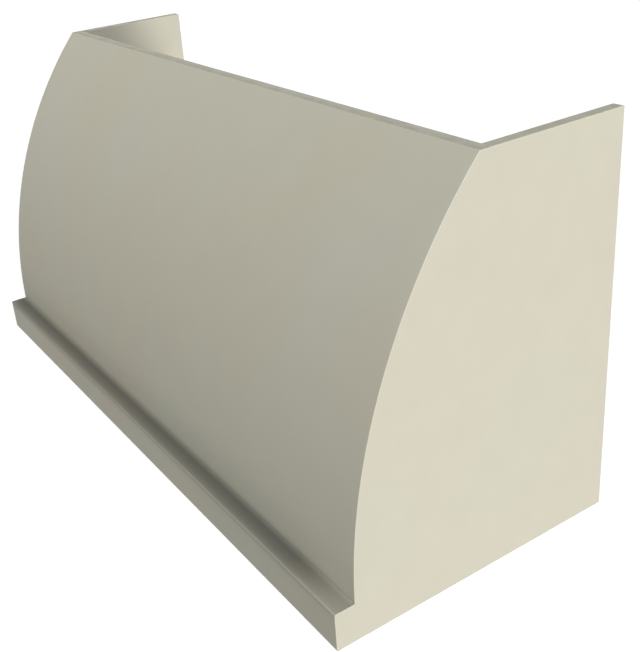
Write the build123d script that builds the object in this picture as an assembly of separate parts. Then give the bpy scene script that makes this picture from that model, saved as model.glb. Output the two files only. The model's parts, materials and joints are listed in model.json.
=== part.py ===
from build123d import *

import math
import os

# A wall-hung range hood cover: two side panels, a laminated front that curves back as it rises,
# and an apron along its foot, on an inner frame of ribs, rails and ledgers.
#
# Frame: origin at the middle of the footprint, on the bottom edge. +X to the right of someone
# facing the front, +Y towards the wall, +Z up. All sizes are in millimetres.

# ---- overall shape
WIDTH = 1219.0  # outside to outside of the side panels
HEIGHT = 609.0
DEPTH = 488.0  # wall plane to the apron's front face
TOP_DEPTH = 243.5  # wall plane to the top edge of the curved front
APRON_HEIGHT = 60.5
APRON_THICKNESS = 32.0  # how far the apron stands in front of the curved front
ARRIS_RADIUS = 2.0  # rounding of the apron's two front arrises

# ---- boards
SIDE_THICKNESS = 18.0
OUTER_PLY = 6.0
INNER_PLY = 8.0
RAIL_THICKNESS = 18.0
RIB_THICKNESS = 18.0
RIB_COUNT = 2
BATTEN_THICKNESS = 22.0
BATTEN_WIDTH = 70.0
BATTEN_DROP = 20.0  # top edge of the front down to the top batten
LEDGER_WIDTH = 25.0
INSERT_PANEL_THICKNESS = 12.0
INSERT_PANEL_RECESS = 20.0  # bottom edge up to the underside of the insert panel
INSERT_PANEL_GAP = 1.5  # all round the insert panel

# ---- rails at the wall
HANGING_RAIL_HEIGHT = 90.0
HANGING_RAIL_DROP = 110.0  # top edge of the cover down to the hanging rail
LOWER_RAIL_HEIGHT = 100.0
STUD_SPACING = 406.4
STUD_COUNT = 3
WALL_HOLE_RADIUS = 3.5
LOWER_HOLE_DROP = 20.0  # top of the lower rail down to its wall holes

# ---- cut-out for the extractor insert
CUTOUT_WIDTH = 836.0
CUTOUT_DEPTH = 266.0
CUTOUT_REAR_MARGIN = 35.0  # lower rear rail to the cut-out
CUTOUT_CORNER_RADIUS = 6.0
INSERT_HOLE_RADIUS = 2.25
INSERT_HOLE_MARGIN = 12.0  # end of the cut-out to the holes beside it
INSERT_HOLE_PITCH = 180.0  # between the two holes at one end

# ---- joints
REBATE_DEPTH = 8.0  # of the side panels, for the ends of the plies
HOUSING_DEPTH = 6.0  # of the side panels, for the ends of rails and batten
HOUSING_END_GAP = 0.3  # end of a rail to the floor of its housing
DOWEL_RADIUS = 4.0
DOWEL_LENGTH = 30.0
DOWEL_SIDE_EMBED = 11.0  # of an apron dowel in the side panel
DOWEL_GAP = 0.1  # round a dowel
DOWEL_END_GAP = 1.0  # at each end of a dowel
APRON_DOWEL_PITCH = 24.0  # between the two dowels at one end of the apron

# ---- countersunk screws
SHANK_RADIUS = 2.0
HEAD_RADIUS = 4.0
TIP_LENGTH = 5.0
TIP_RADIUS = 0.4
RECESS_ARM = 4.6  # of the cross recess in the head
RECESS_WIDTH = 1.1
RECESS_DEPTH = 1.6
SCREW_GAP = 0.1  # round a screw
PANEL_SCREW_LENGTH = 30.0
FORMER_SCREW_LENGTH = 30.0
LEDGER_SCREW_LENGTH = 38.0
APRON_SCREW_LENGTH = 50.0
RIB_SCREW_LENGTH = 60.0
FORMER_SCREW_COUNT = 4
APRON_SCREW_COUNT = 5
APRON_SCREW_MARGIN = 110.0  # side panel to the first apron screw
LEDGER_SCREW_COUNT = 6
LEDGER_SCREW_MARGIN = 50.0
SIDE_LEDGER_SCREW_COUNT = 3
SIDE_LEDGER_SCREW_MARGIN = 40.0
PANEL_SCREW_COUNT = 5
PANEL_SCREW_MARGIN = 30.0
PANEL_SIDE_SCREW_PITCH = 140.0  # between the two panel screws in a side ledger
BLOCK_SIDE_SCREW_PITCH = 63.0  # between a block's two screws into the side panel
BLOCK_RAIL_SCREW_PITCH = 21.6  # between a block's two screws into the hanging rail

# ---- places that follow from the sizes above
WALL_Y = DEPTH / 2
APRON_FRONT_Y = WALL_Y - DEPTH
SKIN_Y = APRON_FRONT_Y + APRON_THICKNESS  # outer face of the front, down behind the apron
TOP_FRONT_Y = WALL_Y - TOP_DEPTH
INNER_HALF = WIDTH / 2 - SIDE_THICKNESS  # centre to the inner face of a side panel
INNER_WIDTH = 2 * INNER_HALF

# The front's outline is one arc that starts upright at the top of the apron and ends at the top
# edge. Its centre is level with the apron's top.
RISE = HEIGHT - APRON_HEIGHT
SETBACK = TOP_FRONT_Y - SKIN_Y
SKIN_RADIUS = (RISE**2 + SETBACK**2) / (2 * SETBACK)
ARC_Y = SKIN_Y + SKIN_RADIUS
ARC_Z = APRON_HEIGHT

SKIN_THICKNESS = OUTER_PLY + INNER_PLY
PLY_JOINT_RADIUS = SKIN_RADIUS - OUTER_PLY
RIB_OUTER_RADIUS = SKIN_RADIUS - SKIN_THICKNESS
RIB_DEPTH = RAIL_THICKNESS + LEDGER_WIDTH  # a rib's foot stands on the rail and the ledger
RIB_INNER_RADIUS = RIB_OUTER_RADIUS - RIB_DEPTH
BATTEN_INNER_RADIUS = RIB_OUTER_RADIUS - BATTEN_THICKNESS
BATTEN_TOP_ANGLE = math.asin((RISE - BATTEN_DROP) / RIB_OUTER_RADIUS)
RIB_TOP_ANGLE = BATTEN_TOP_ANGLE - BATTEN_WIDTH / RIB_OUTER_RADIUS

RAIL_FRONT_Y = SKIN_Y + SKIN_THICKNESS
RAIL_BACK_Y = RAIL_FRONT_Y + RAIL_THICKNESS
FRONT_RAIL_HEIGHT = APRON_HEIGHT  # the plies are straight this far up
WALL_RAIL_Y = WALL_Y - RAIL_THICKNESS
HANGING_RAIL_TOP = HEIGHT - HANGING_RAIL_DROP
HANGING_RAIL_BOTTOM = HANGING_RAIL_TOP - HANGING_RAIL_HEIGHT
HANGING_RAIL_MID_Z = HANGING_RAIL_BOTTOM + HANGING_RAIL_HEIGHT / 2
LOWER_HOLE_Z = LOWER_RAIL_HEIGHT - LOWER_HOLE_DROP

LEDGER_BOTTOM = INSERT_PANEL_RECESS + INSERT_PANEL_THICKNESS
LEDGER_TOP = FRONT_RAIL_HEIGHT
LEDGER_MID_Z = (LEDGER_BOTTOM + LEDGER_TOP) / 2
FRONT_LEDGER_BACK_Y = RAIL_BACK_Y + LEDGER_WIDTH
REAR_LEDGER_FRONT_Y = WALL_RAIL_Y - LEDGER_WIDTH
FRONT_LEDGER_MID_Y = RAIL_BACK_Y + LEDGER_WIDTH / 2
REAR_LEDGER_MID_Y = WALL_RAIL_Y - LEDGER_WIDTH / 2
SIDE_LEDGER_MID_Y = (FRONT_LEDGER_BACK_Y + REAR_LEDGER_FRONT_Y) / 2
SIDE_LEDGER_LENGTH = REAR_LEDGER_FRONT_Y - FRONT_LEDGER_BACK_Y

CUTOUT_BACK_Y = WALL_RAIL_Y - CUTOUT_REAR_MARGIN
CUTOUT_MID_Y = CUTOUT_BACK_Y - CUTOUT_DEPTH / 2

SIDES = {"left": -1, "right": 1}


# ---- drawing helpers
def on_arc(radius, angle):
    """The (Y, Z) point at an angle up from level, on a circle round the front's arc centre."""
    return (ARC_Y - radius * math.cos(angle), ARC_Z + radius * math.sin(angle))


def angle_at(radius, height):
    """The angle at which such a circle passes a height."""
    return math.asin((height - ARC_Z) / radius)


def arc(radius, start, end):
    """An arc round the front's arc centre, from one angle to another."""
    middle = (start + end) / 2
    return ThreePointArc(on_arc(radius, start), on_arc(radius, middle), on_arc(radius, end))


def corner_arc(y, z, radius, start, end):
    """A quarter circle round (y, z), between two angles in degrees."""
    angles = [math.radians(a) for a in (start, (start + end) / 2, end)]
    return ThreePointArc(*[(y + radius * math.cos(a), z + radius * math.sin(a)) for a in angles])


def board(outline, x_from, x_to):
    """A closed outline in the YZ plane, made solid from one X to another."""
    face = Plane.YZ * make_face(outline)
    return Pos(x_from, 0, 0) * extrude(face, amount=x_to - x_from)


def block(x_from, x_to, y_from, y_to, z_from, z_to):
    """A rectangular block between six planes."""
    size = (x_to - x_from, y_to - y_from, z_to - z_from)
    return Pos(x_from, y_from, z_from) * Box(*size, align=Align.MIN)


def spaced(count, span):
    """Evenly spaced places over a span, centred on zero."""
    return [span * (i / (count - 1) - 0.5) for i in range(count)]


# ---- outlines of the curved pieces
def band(outer, inner):
    """The upright foot and the curve of a ply between two radii."""
    outer_y = ARC_Y - outer
    inner_y = ARC_Y - inner
    outer_top = angle_at(outer, HEIGHT)
    inner_top = angle_at(inner, HEIGHT)
    return (
        Line((outer_y, 0), (outer_y, ARC_Z))
        + arc(outer, 0, outer_top)
        + Line(on_arc(outer, outer_top), on_arc(inner, inner_top))
        + arc(inner, inner_top, 0)
        + Polyline((inner_y, ARC_Z), (inner_y, 0), (outer_y, 0))
    )


def rib_outline():
    """A curved rib from the front rail's top to the top batten."""
    return (
        arc(RIB_OUTER_RADIUS, 0, RIB_TOP_ANGLE)
        + Line(on_arc(RIB_OUTER_RADIUS, RIB_TOP_ANGLE), on_arc(RIB_INNER_RADIUS, RIB_TOP_ANGLE))
        + arc(RIB_INNER_RADIUS, RIB_TOP_ANGLE, 0)
        + Line(on_arc(RIB_INNER_RADIUS, 0), on_arc(RIB_OUTER_RADIUS, 0))
    )


def batten_outline():
    """A batten with its face planed to the curve, a flat back and square edges."""
    return arc(RIB_OUTER_RADIUS, RIB_TOP_ANGLE, BATTEN_TOP_ANGLE) + Polyline(
        on_arc(RIB_OUTER_RADIUS, BATTEN_TOP_ANGLE),
        on_arc(BATTEN_INNER_RADIUS, BATTEN_TOP_ANGLE),
        on_arc(BATTEN_INNER_RADIUS, RIB_TOP_ANGLE),
        on_arc(RIB_OUTER_RADIUS, RIB_TOP_ANGLE),
    )


def apron_front():
    """The apron's front, from its foot to its top, with both arrises rounded."""
    y = APRON_FRONT_Y + ARRIS_RADIUS
    low = ARRIS_RADIUS
    high = APRON_HEIGHT - ARRIS_RADIUS
    return (
        corner_arc(y, low, ARRIS_RADIUS, 270, 180)
        + Line((APRON_FRONT_Y, low), (APRON_FRONT_Y, high))
        + corner_arc(y, high, ARRIS_RADIUS, 180, 90)
    )


def apron_outline():
    """The apron's section."""
    y = APRON_FRONT_Y + ARRIS_RADIUS
    back = Polyline((y, APRON_HEIGHT), (SKIN_Y, APRON_HEIGHT), (SKIN_Y, 0), (y, 0))
    return apron_front() + back


def side_outline():
    """A side panel's outline, with the end of the apron and the front's arc in it."""
    y = APRON_FRONT_Y + ARRIS_RADIUS
    top = angle_at(SKIN_RADIUS, HEIGHT)
    return (
        apron_front()
        + Line((y, APRON_HEIGHT), (SKIN_Y, APRON_HEIGHT))
        + arc(SKIN_RADIUS, 0, top)
        + Polyline(on_arc(SKIN_RADIUS, top), (WALL_Y, HEIGHT), (WALL_Y, 0), (y, 0))
    )


# ---- fasteners, each along +Z from the face that it goes in at
def screw(length):
    """A countersunk wood screw with a cross recess."""
    outline = Polyline(
        (0, 0),
        (HEAD_RADIUS, 0),
        (SHANK_RADIUS, HEAD_RADIUS - SHANK_RADIUS),
        (SHANK_RADIUS, length - TIP_LENGTH),
        (TIP_RADIUS, length),
        (0, length),
        (0, 0),
    )
    body = revolve(Plane.XZ * make_face(outline), Axis.Z)
    arm = Box(RECESS_ARM, RECESS_WIDTH, 2 * RECESS_DEPTH)
    return body - arm - Rot(0, 0, 90) * arm


def screw_hole(length):
    """The countersunk hole that such a screw fills."""
    shank = SHANK_RADIUS + SCREW_GAP
    head = HEAD_RADIUS + SCREW_GAP
    end = length + SCREW_GAP
    outline = Polyline(
        (0, 0),
        (head, 0),
        (shank, HEAD_RADIUS - SHANK_RADIUS),
        (shank, end - TIP_LENGTH),
        (TIP_RADIUS + SCREW_GAP, end),
        (0, end),
        (0, 0),
    )
    return revolve(Plane.XZ * make_face(outline), Axis.Z)


def dowel():
    """A plain dowel, centred on its middle."""
    return Cylinder(DOWEL_RADIUS, DOWEL_LENGTH)


def dowel_hole():
    """The hole round such a dowel, in both pieces that it joins."""
    return Cylinder(DOWEL_RADIUS + DOWEL_GAP, DOWEL_LENGTH + 2 * DOWEL_END_GAP)


def former_screw_places():
    """From inside, through each end former into its side panel."""
    radius = (RIB_OUTER_RADIUS + RIB_INNER_RADIUS) / 2
    places = []
    for side in SIDES.values():
        x = side * (INNER_HALF - RIB_THICKNESS)
        for i in range(FORMER_SCREW_COUNT):
            y, z = on_arc(radius, RIB_TOP_ANGLE * (i + 0.5) / FORMER_SCREW_COUNT)
            places.append(Plane((x, y, z), z_dir=(side, 0, 0)))
    return places


def apron_screw_places():
    """From behind, through the front rail and the plies into the apron."""
    span = INNER_WIDTH - 2 * APRON_SCREW_MARGIN
    return [
        Plane((x, RAIL_BACK_Y, LEDGER_MID_Z), z_dir=(0, -1, 0))
        for x in spaced(APRON_SCREW_COUNT, span)
    ]


def rib_places():
    """The middle of each rib, with the ribs evenly spread between the side panels."""
    return spaced(RIB_COUNT + 2, INNER_WIDTH)[1:-1]


def rib_screw_places():
    """Up through the front ledger into each rib's foot."""
    return [Plane((x, FRONT_LEDGER_MID_Y, LEDGER_BOTTOM), z_dir=(0, 0, 1)) for x in rib_places()]


def front_ledger_screw_places():
    """Through the front ledger into the front rail."""
    span = INNER_WIDTH - 2 * LEDGER_SCREW_MARGIN
    return [
        Plane((x, FRONT_LEDGER_BACK_Y, LEDGER_MID_Z), z_dir=(0, -1, 0))
        for x in spaced(LEDGER_SCREW_COUNT, span)
    ]


def rear_ledger_screw_places():
    """Through the rear ledger into the lower rear rail."""
    span = INNER_WIDTH - 2 * LEDGER_SCREW_MARGIN
    return [
        Plane((x, REAR_LEDGER_FRONT_Y, LEDGER_MID_Z), z_dir=(0, 1, 0))
        for x in spaced(LEDGER_SCREW_COUNT, span)
    ]


def side_ledger_screw_places(side):
    """Through a side ledger into its side panel."""
    x = side * (INNER_HALF - LEDGER_WIDTH)
    span = SIDE_LEDGER_LENGTH - 2 * SIDE_LEDGER_SCREW_MARGIN
    return [
        Plane((x, SIDE_LEDGER_MID_Y + y, LEDGER_MID_Z), z_dir=(side, 0, 0))
        for y in spaced(SIDE_LEDGER_SCREW_COUNT, span)
    ]


def ledger_screw_places():
    """All the screws that hold the ledgers."""
    places = front_ledger_screw_places() + rear_ledger_screw_places()
    for side in SIDES.values():
        places += side_ledger_screw_places(side)
    return places


def panel_screw_places():
    """From below, through the insert panel into the ledgers."""
    span = INNER_WIDTH - 2 * PANEL_SCREW_MARGIN
    points = [
        (x, y)
        for y in (FRONT_LEDGER_MID_Y, REAR_LEDGER_MID_Y)
        for x in spaced(PANEL_SCREW_COUNT, span)
    ]
    points += [
        (side * (INNER_HALF - LEDGER_WIDTH / 2), SIDE_LEDGER_MID_Y + y)
        for side in SIDES.values()
        for y in spaced(2, PANEL_SIDE_SCREW_PITCH)
    ]
    return [Plane((x, y, INSERT_PANEL_RECESS), z_dir=(0, 0, 1)) for x, y in points]


def block_screw_places():
    """Through the blocks, two into each side panel and two into each end of the hanging rail."""
    places = []
    for side in SIDES.values():
        for z in spaced(2, BLOCK_SIDE_SCREW_PITCH):
            origin = (
                side * (INNER_HALF - LEDGER_WIDTH),
                REAR_LEDGER_MID_Y,
                HANGING_RAIL_MID_Z + z,
            )
            places.append(Plane(origin, z_dir=(side, 0, 0)))
        for z in spaced(2, BLOCK_RAIL_SCREW_PITCH):
            origin = (
                side * (INNER_HALF - LEDGER_WIDTH / 2),
                REAR_LEDGER_FRONT_Y,
                HANGING_RAIL_MID_Z + z,
            )
            places.append(Plane(origin, z_dir=(0, 1, 0)))
    return places


def apron_dowel_places():
    """Two dowels at each end of the apron, into the side panel."""
    y = (APRON_FRONT_Y + SKIN_Y) / 2
    x = INNER_HALF + DOWEL_SIDE_EMBED - DOWEL_LENGTH / 2
    return [
        Plane((side * x, y, APRON_HEIGHT / 2 + z), z_dir=(side, 0, 0))
        for side in SIDES.values()
        for z in spaced(2, APRON_DOWEL_PITCH)
    ]


def rib_dowel_places():
    """A dowel across the joint of each rib's top and the top batten."""
    radius = (RIB_OUTER_RADIUS + BATTEN_INNER_RADIUS) / 2
    y, z = on_arc(radius, RIB_TOP_ANGLE)
    along = (0, math.sin(RIB_TOP_ANGLE), math.cos(RIB_TOP_ANGLE))
    return [Plane((x, y, z), z_dir=along) for x in rib_places()]


def placed(shape, places):
    """A copy of a shape at each place."""
    return [place * shape for place in places]


def drilled(piece, length, places):
    """A piece with the holes of a row of screws."""
    return piece - placed(screw_hole(length), places)


def pegged(piece, places):
    """A piece with the holes of a row of dowels."""
    return piece - placed(dowel_hole(), places)


# ---- rails and other pieces that run from side to side
def housed(outline):
    """A piece whose ends sit in the side panels' housings, just short of their floors."""
    end = INNER_HALF + HOUSING_DEPTH - HOUSING_END_GAP
    return board(outline, -end, end)


def rectangle(y_from, y_to, z_from, z_to):
    """A rectangle in the YZ plane."""
    corners = [(y_from, z_from), (y_to, z_from), (y_to, z_to), (y_from, z_to), (y_from, z_from)]
    return Polyline(*corners)


FRONT_RAIL_OUTLINE = rectangle(RAIL_FRONT_Y, RAIL_BACK_Y, 0, FRONT_RAIL_HEIGHT)
HANGING_RAIL_OUTLINE = rectangle(WALL_RAIL_Y, WALL_Y, HANGING_RAIL_BOTTOM, HANGING_RAIL_TOP)
LOWER_RAIL_OUTLINE = rectangle(WALL_RAIL_Y, WALL_Y, 0, LOWER_RAIL_HEIGHT)
BATTEN_OUTLINE = batten_outline()
HOUSED_OUTLINES = (FRONT_RAIL_OUTLINE, HANGING_RAIL_OUTLINE, LOWER_RAIL_OUTLINE, BATTEN_OUTLINE)


def wall_drilled(rail, height):
    """A wall rail with a screw hole at each stud."""
    hole = Cylinder(WALL_HOLE_RADIUS, 2 * RAIL_THICKNESS)
    span = (STUD_COUNT - 1) * STUD_SPACING
    places = [Plane((x, WALL_Y, height), z_dir=(0, 1, 0)) for x in spaced(STUD_COUNT, span)]
    return rail - placed(hole, places)


def front_bottom_rail():
    """The rail behind the foot of the plies, which the apron is screwed through."""
    rail = housed(FRONT_RAIL_OUTLINE)
    rail = drilled(rail, APRON_SCREW_LENGTH, apron_screw_places())
    return drilled(rail, LEDGER_SCREW_LENGTH, front_ledger_screw_places())


def hanging_rail():
    """The rail that the cover hangs from."""
    rail = wall_drilled(housed(HANGING_RAIL_OUTLINE), HANGING_RAIL_MID_Z)
    return drilled(rail, LEDGER_SCREW_LENGTH, block_screw_places())


def lower_rear_rail():
    """The rail along the foot of the open back."""
    rail = wall_drilled(housed(LOWER_RAIL_OUTLINE), LOWER_HOLE_Z)
    return drilled(rail, LEDGER_SCREW_LENGTH, rear_ledger_screw_places())


def top_batten():
    """The batten behind the top of the plies."""
    return pegged(housed(BATTEN_OUTLINE), rib_dowel_places())


# ---- shell
def side_panel(side):
    """A side panel with its rebate for the plies, its housings, and its blind holes."""
    outer, inner = side * WIDTH / 2, side * INNER_HALF
    panel = board(side_outline(), *sorted((outer, inner)))
    rebate = board(
        band(SKIN_RADIUS, RIB_OUTER_RADIUS), *sorted((inner, inner + side * REBATE_DEPTH))
    )
    panel -= rebate
    for outline in HOUSED_OUTLINES:
        panel -= board(outline, *sorted((inner, inner + side * HOUSING_DEPTH)))
    panel = drilled(panel, FORMER_SCREW_LENGTH, former_screw_places())
    panel = drilled(panel, LEDGER_SCREW_LENGTH, side_ledger_screw_places(side))
    panel = drilled(panel, LEDGER_SCREW_LENGTH, block_screw_places())
    return pegged(panel, apron_dowel_places())


def front_ply(outer, inner):
    """A ply of the curved front, between two radii."""
    end = INNER_HALF + REBATE_DEPTH
    ply = board(band(outer, inner), -end, end)
    return drilled(ply, APRON_SCREW_LENGTH, apron_screw_places())


def apron_board():
    """The solid board in front of the foot of the plies, between the side panels."""
    apron = board(apron_outline(), -INNER_HALF, INNER_HALF)
    apron = drilled(apron, APRON_SCREW_LENGTH, apron_screw_places())
    return pegged(apron, apron_dowel_places())


# ---- ribs
def end_former(side):
    """The curved rib that is screwed to the inside of a side panel."""
    inner = side * INNER_HALF
    former = board(rib_outline(), *sorted((inner, inner - side * RIB_THICKNESS)))
    return drilled(former, FORMER_SCREW_LENGTH, former_screw_places())


def rib(x):
    """A curved rib, centred on x."""
    half = RIB_THICKNESS / 2
    piece = board(rib_outline(), x - half, x + half)
    piece = drilled(piece, RIB_SCREW_LENGTH, rib_screw_places())
    return pegged(piece, rib_dowel_places())


# ---- ledgers, blocks and the insert panel
def front_ledger():
    """The ledger along the front rail."""
    y_range = (RAIL_BACK_Y, FRONT_LEDGER_BACK_Y)
    ledger = block(-INNER_HALF, INNER_HALF, *y_range, LEDGER_BOTTOM, LEDGER_TOP)
    ledger = drilled(ledger, LEDGER_SCREW_LENGTH, front_ledger_screw_places())
    ledger = drilled(ledger, PANEL_SCREW_LENGTH, panel_screw_places())
    return drilled(ledger, RIB_SCREW_LENGTH, rib_screw_places())


def rear_ledger():
    """The ledger along the lower rear rail."""
    y_range = (REAR_LEDGER_FRONT_Y, WALL_RAIL_Y)
    ledger = block(-INNER_HALF, INNER_HALF, *y_range, LEDGER_BOTTOM, LEDGER_TOP)
    ledger = drilled(ledger, LEDGER_SCREW_LENGTH, rear_ledger_screw_places())
    return drilled(ledger, PANEL_SCREW_LENGTH, panel_screw_places())


def side_ledger(side):
    """The ledger along a side panel, between the front and rear ledgers."""
    x_range = sorted((side * INNER_HALF, side * (INNER_HALF - LEDGER_WIDTH)))
    y_range = (FRONT_LEDGER_BACK_Y, REAR_LEDGER_FRONT_Y)
    ledger = block(*x_range, *y_range, LEDGER_BOTTOM, LEDGER_TOP)
    ledger = drilled(ledger, LEDGER_SCREW_LENGTH, side_ledger_screw_places(side))
    return drilled(ledger, PANEL_SCREW_LENGTH, panel_screw_places())


def rail_block(side):
    """The block in the corner of the hanging rail and a side panel."""
    x_range = sorted((side * INNER_HALF, side * (INNER_HALF - LEDGER_WIDTH)))
    y_range = (REAR_LEDGER_FRONT_Y, WALL_RAIL_Y)
    piece = block(*x_range, *y_range, HANGING_RAIL_BOTTOM, HANGING_RAIL_TOP)
    return drilled(piece, LEDGER_SCREW_LENGTH, block_screw_places())


def insert_panel():
    """The board under the ledgers, with the insert's cut-out and its four screw holes."""
    half = INNER_HALF - INSERT_PANEL_GAP
    y_range = (RAIL_BACK_Y + INSERT_PANEL_GAP, WALL_RAIL_Y - INSERT_PANEL_GAP)
    panel = block(-half, half, *y_range, INSERT_PANEL_RECESS, LEDGER_BOTTOM)
    cutout = RectangleRounded(CUTOUT_WIDTH, CUTOUT_DEPTH, CUTOUT_CORNER_RADIUS)
    panel -= Pos(0, CUTOUT_MID_Y, 0) * extrude(cutout, amount=LEDGER_TOP)
    hole = Cylinder(INSERT_HOLE_RADIUS, 2 * LEDGER_TOP)
    hole_x = CUTOUT_WIDTH / 2 + INSERT_HOLE_MARGIN
    for x in (-hole_x, hole_x):
        for y in spaced(2, INSERT_HOLE_PITCH):
            panel -= Pos(x, CUTOUT_MID_Y + y, 0) * hole
    return drilled(panel, PANEL_SCREW_LENGTH, panel_screw_places())


def group(shape, places):
    """Separate copies of a fastener, kept as one sub-part."""
    return Compound(children=placed(shape, places))


def pieces():
    """Every sub-part by name."""
    found = {
        "front_outer_ply": front_ply(SKIN_RADIUS, PLY_JOINT_RADIUS),
        "front_inner_ply": front_ply(PLY_JOINT_RADIUS, RIB_OUTER_RADIUS),
        "apron_board": apron_board(),
        "front_bottom_rail": front_bottom_rail(),
        "top_batten": top_batten(),
        "hanging_rail": hanging_rail(),
        "lower_rear_rail": lower_rear_rail(),
        "front_ledger": front_ledger(),
        "rear_ledger": rear_ledger(),
        "insert_panel": insert_panel(),
        "apron_dowels": group(dowel(), apron_dowel_places()),
        "rib_dowels": group(dowel(), rib_dowel_places()),
        "former_screws": group(screw(FORMER_SCREW_LENGTH), former_screw_places()),
        "apron_screws": group(screw(APRON_SCREW_LENGTH), apron_screw_places()),
        "rib_screws": group(screw(RIB_SCREW_LENGTH), rib_screw_places()),
        "ledger_screws": group(screw(LEDGER_SCREW_LENGTH), ledger_screw_places()),
        "block_screws": group(screw(LEDGER_SCREW_LENGTH), block_screw_places()),
        "insert_panel_screws": group(screw(PANEL_SCREW_LENGTH), panel_screw_places()),
    }
    for name, side in SIDES.items():
        found[f"{name}_side_panel"] = side_panel(side)
        found[f"{name}_end_former"] = end_former(side)
        found[f"{name}_ledger"] = side_ledger(side)
        found[f"{name}_rail_block"] = rail_block(side)
    for name, x in zip(SIDES, rib_places()):
        found[f"{name}_rib"] = rib(x)
    return found


os.makedirs("parts", exist_ok=True)
for node, piece in pieces().items():
    export_step(piece, f"parts/{node}.step")
    print(node, round(piece.volume))
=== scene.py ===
"""Looks of a wall-hung range hood cover in painted wood.

The cover is two side panels, a laminated front that curves back as it rises and an apron along its
foot, on an inner frame of ribs, rails and ledgers. Everything is in metres, +Z up, with the origin
at the middle of the footprint, +X to the right of someone facing the front and +Y towards the wall.
"""

import json
import logging
import math
from collections.abc import Iterable, Sequence
from dataclasses import dataclass, field
from enum import Enum

import bmesh
import bpy
import numpy as np
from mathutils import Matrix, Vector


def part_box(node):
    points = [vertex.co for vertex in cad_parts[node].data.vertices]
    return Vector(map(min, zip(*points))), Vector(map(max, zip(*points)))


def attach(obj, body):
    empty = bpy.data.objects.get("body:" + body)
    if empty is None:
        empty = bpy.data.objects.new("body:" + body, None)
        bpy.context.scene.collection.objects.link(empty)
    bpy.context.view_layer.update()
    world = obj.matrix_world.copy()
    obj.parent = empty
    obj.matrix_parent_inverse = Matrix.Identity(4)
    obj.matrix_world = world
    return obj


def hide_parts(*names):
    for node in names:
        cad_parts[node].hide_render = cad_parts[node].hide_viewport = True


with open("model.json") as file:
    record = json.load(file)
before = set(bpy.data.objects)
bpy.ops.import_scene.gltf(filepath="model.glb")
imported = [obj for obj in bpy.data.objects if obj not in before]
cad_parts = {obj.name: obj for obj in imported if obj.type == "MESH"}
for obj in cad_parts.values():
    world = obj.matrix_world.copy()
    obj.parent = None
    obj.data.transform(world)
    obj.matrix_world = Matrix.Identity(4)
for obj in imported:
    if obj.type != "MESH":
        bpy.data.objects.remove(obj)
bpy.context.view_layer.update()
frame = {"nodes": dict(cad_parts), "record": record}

LOG = logging.getLogger("range_hood_cover")
BODY = "root"
MILLIMETRE = 0.001
TINY = 1e-6  # metres, under which points are merged
ARC_STEP = 0.006  # between points along an arc
EASE_STEPS = 3  # strips across an eased arris
TURN_STEPS = 40  # sides of a turned shape
TURN_ANGLES = np.linspace(0.0, 2 * math.pi, TURN_STEPS, endpoint=False)
SHARP_ANGLE = math.radians(35)  # between two faces, past which their edge stays sharp
FACE_WEIGHT = 100  # the most that a large face can count over a small one in the shading
BOARD_EASE = 0.0006  # of the arrises of the inner boards
SHELL_EASE = 0.0010  # of the painted shell's outer arrises
FEATHER_EASE = 0.0004  # of the sharp arris where the inner ply meets the top
EASE_SHARE = 0.9  # of a corner's radius, for the easing of the ends beside it
CUT_MARGIN = 0.002  # how far a cut runs past the edge that it opens through
OVERCUT = 0.00002  # how far a hole's cutter stands out of the face
SLANT_SHARE = 0.5  # of a fastener's longest side, past which a second long side means a slant
ENTRY_STEPS = 61  # points along a fastener, to find the pieces that it runs into
NOISE_SPAN = (0.3, 0.7)  # where most of a noise's values lie
SIDE_SPAN = (0.3, 0.8)  # the part along X of a face's direction, from other faces to side faces

Colour = tuple[float, float, float]
Point = tuple[float, float, float]
Span = tuple[float, float]
Socket = bpy.types.NodeSocket


class Side(Enum):
    """The two ends of the cover, as signs of X."""

    LEFT = -1
    RIGHT = 1

    @property
    def word(self) -> str:
        """The word that the names of the pieces start with."""
        return self.name.lower()

    def span(self, near: float, far: float) -> Span:
        """Two distances from the middle as places along X, with the lower one first."""
        low, high = sorted((self.value * near, self.value * far))
        return low, high


class Axis(Enum):
    """The direction of a piece's grain, or of the thickness of its sheet."""

    X = 0
    Y = 1
    Z = 2

    @property
    def unit(self) -> np.ndarray:
        """The unit vector along the axis."""
        return np.eye(3)[self.value]


# ---- sizes


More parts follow.
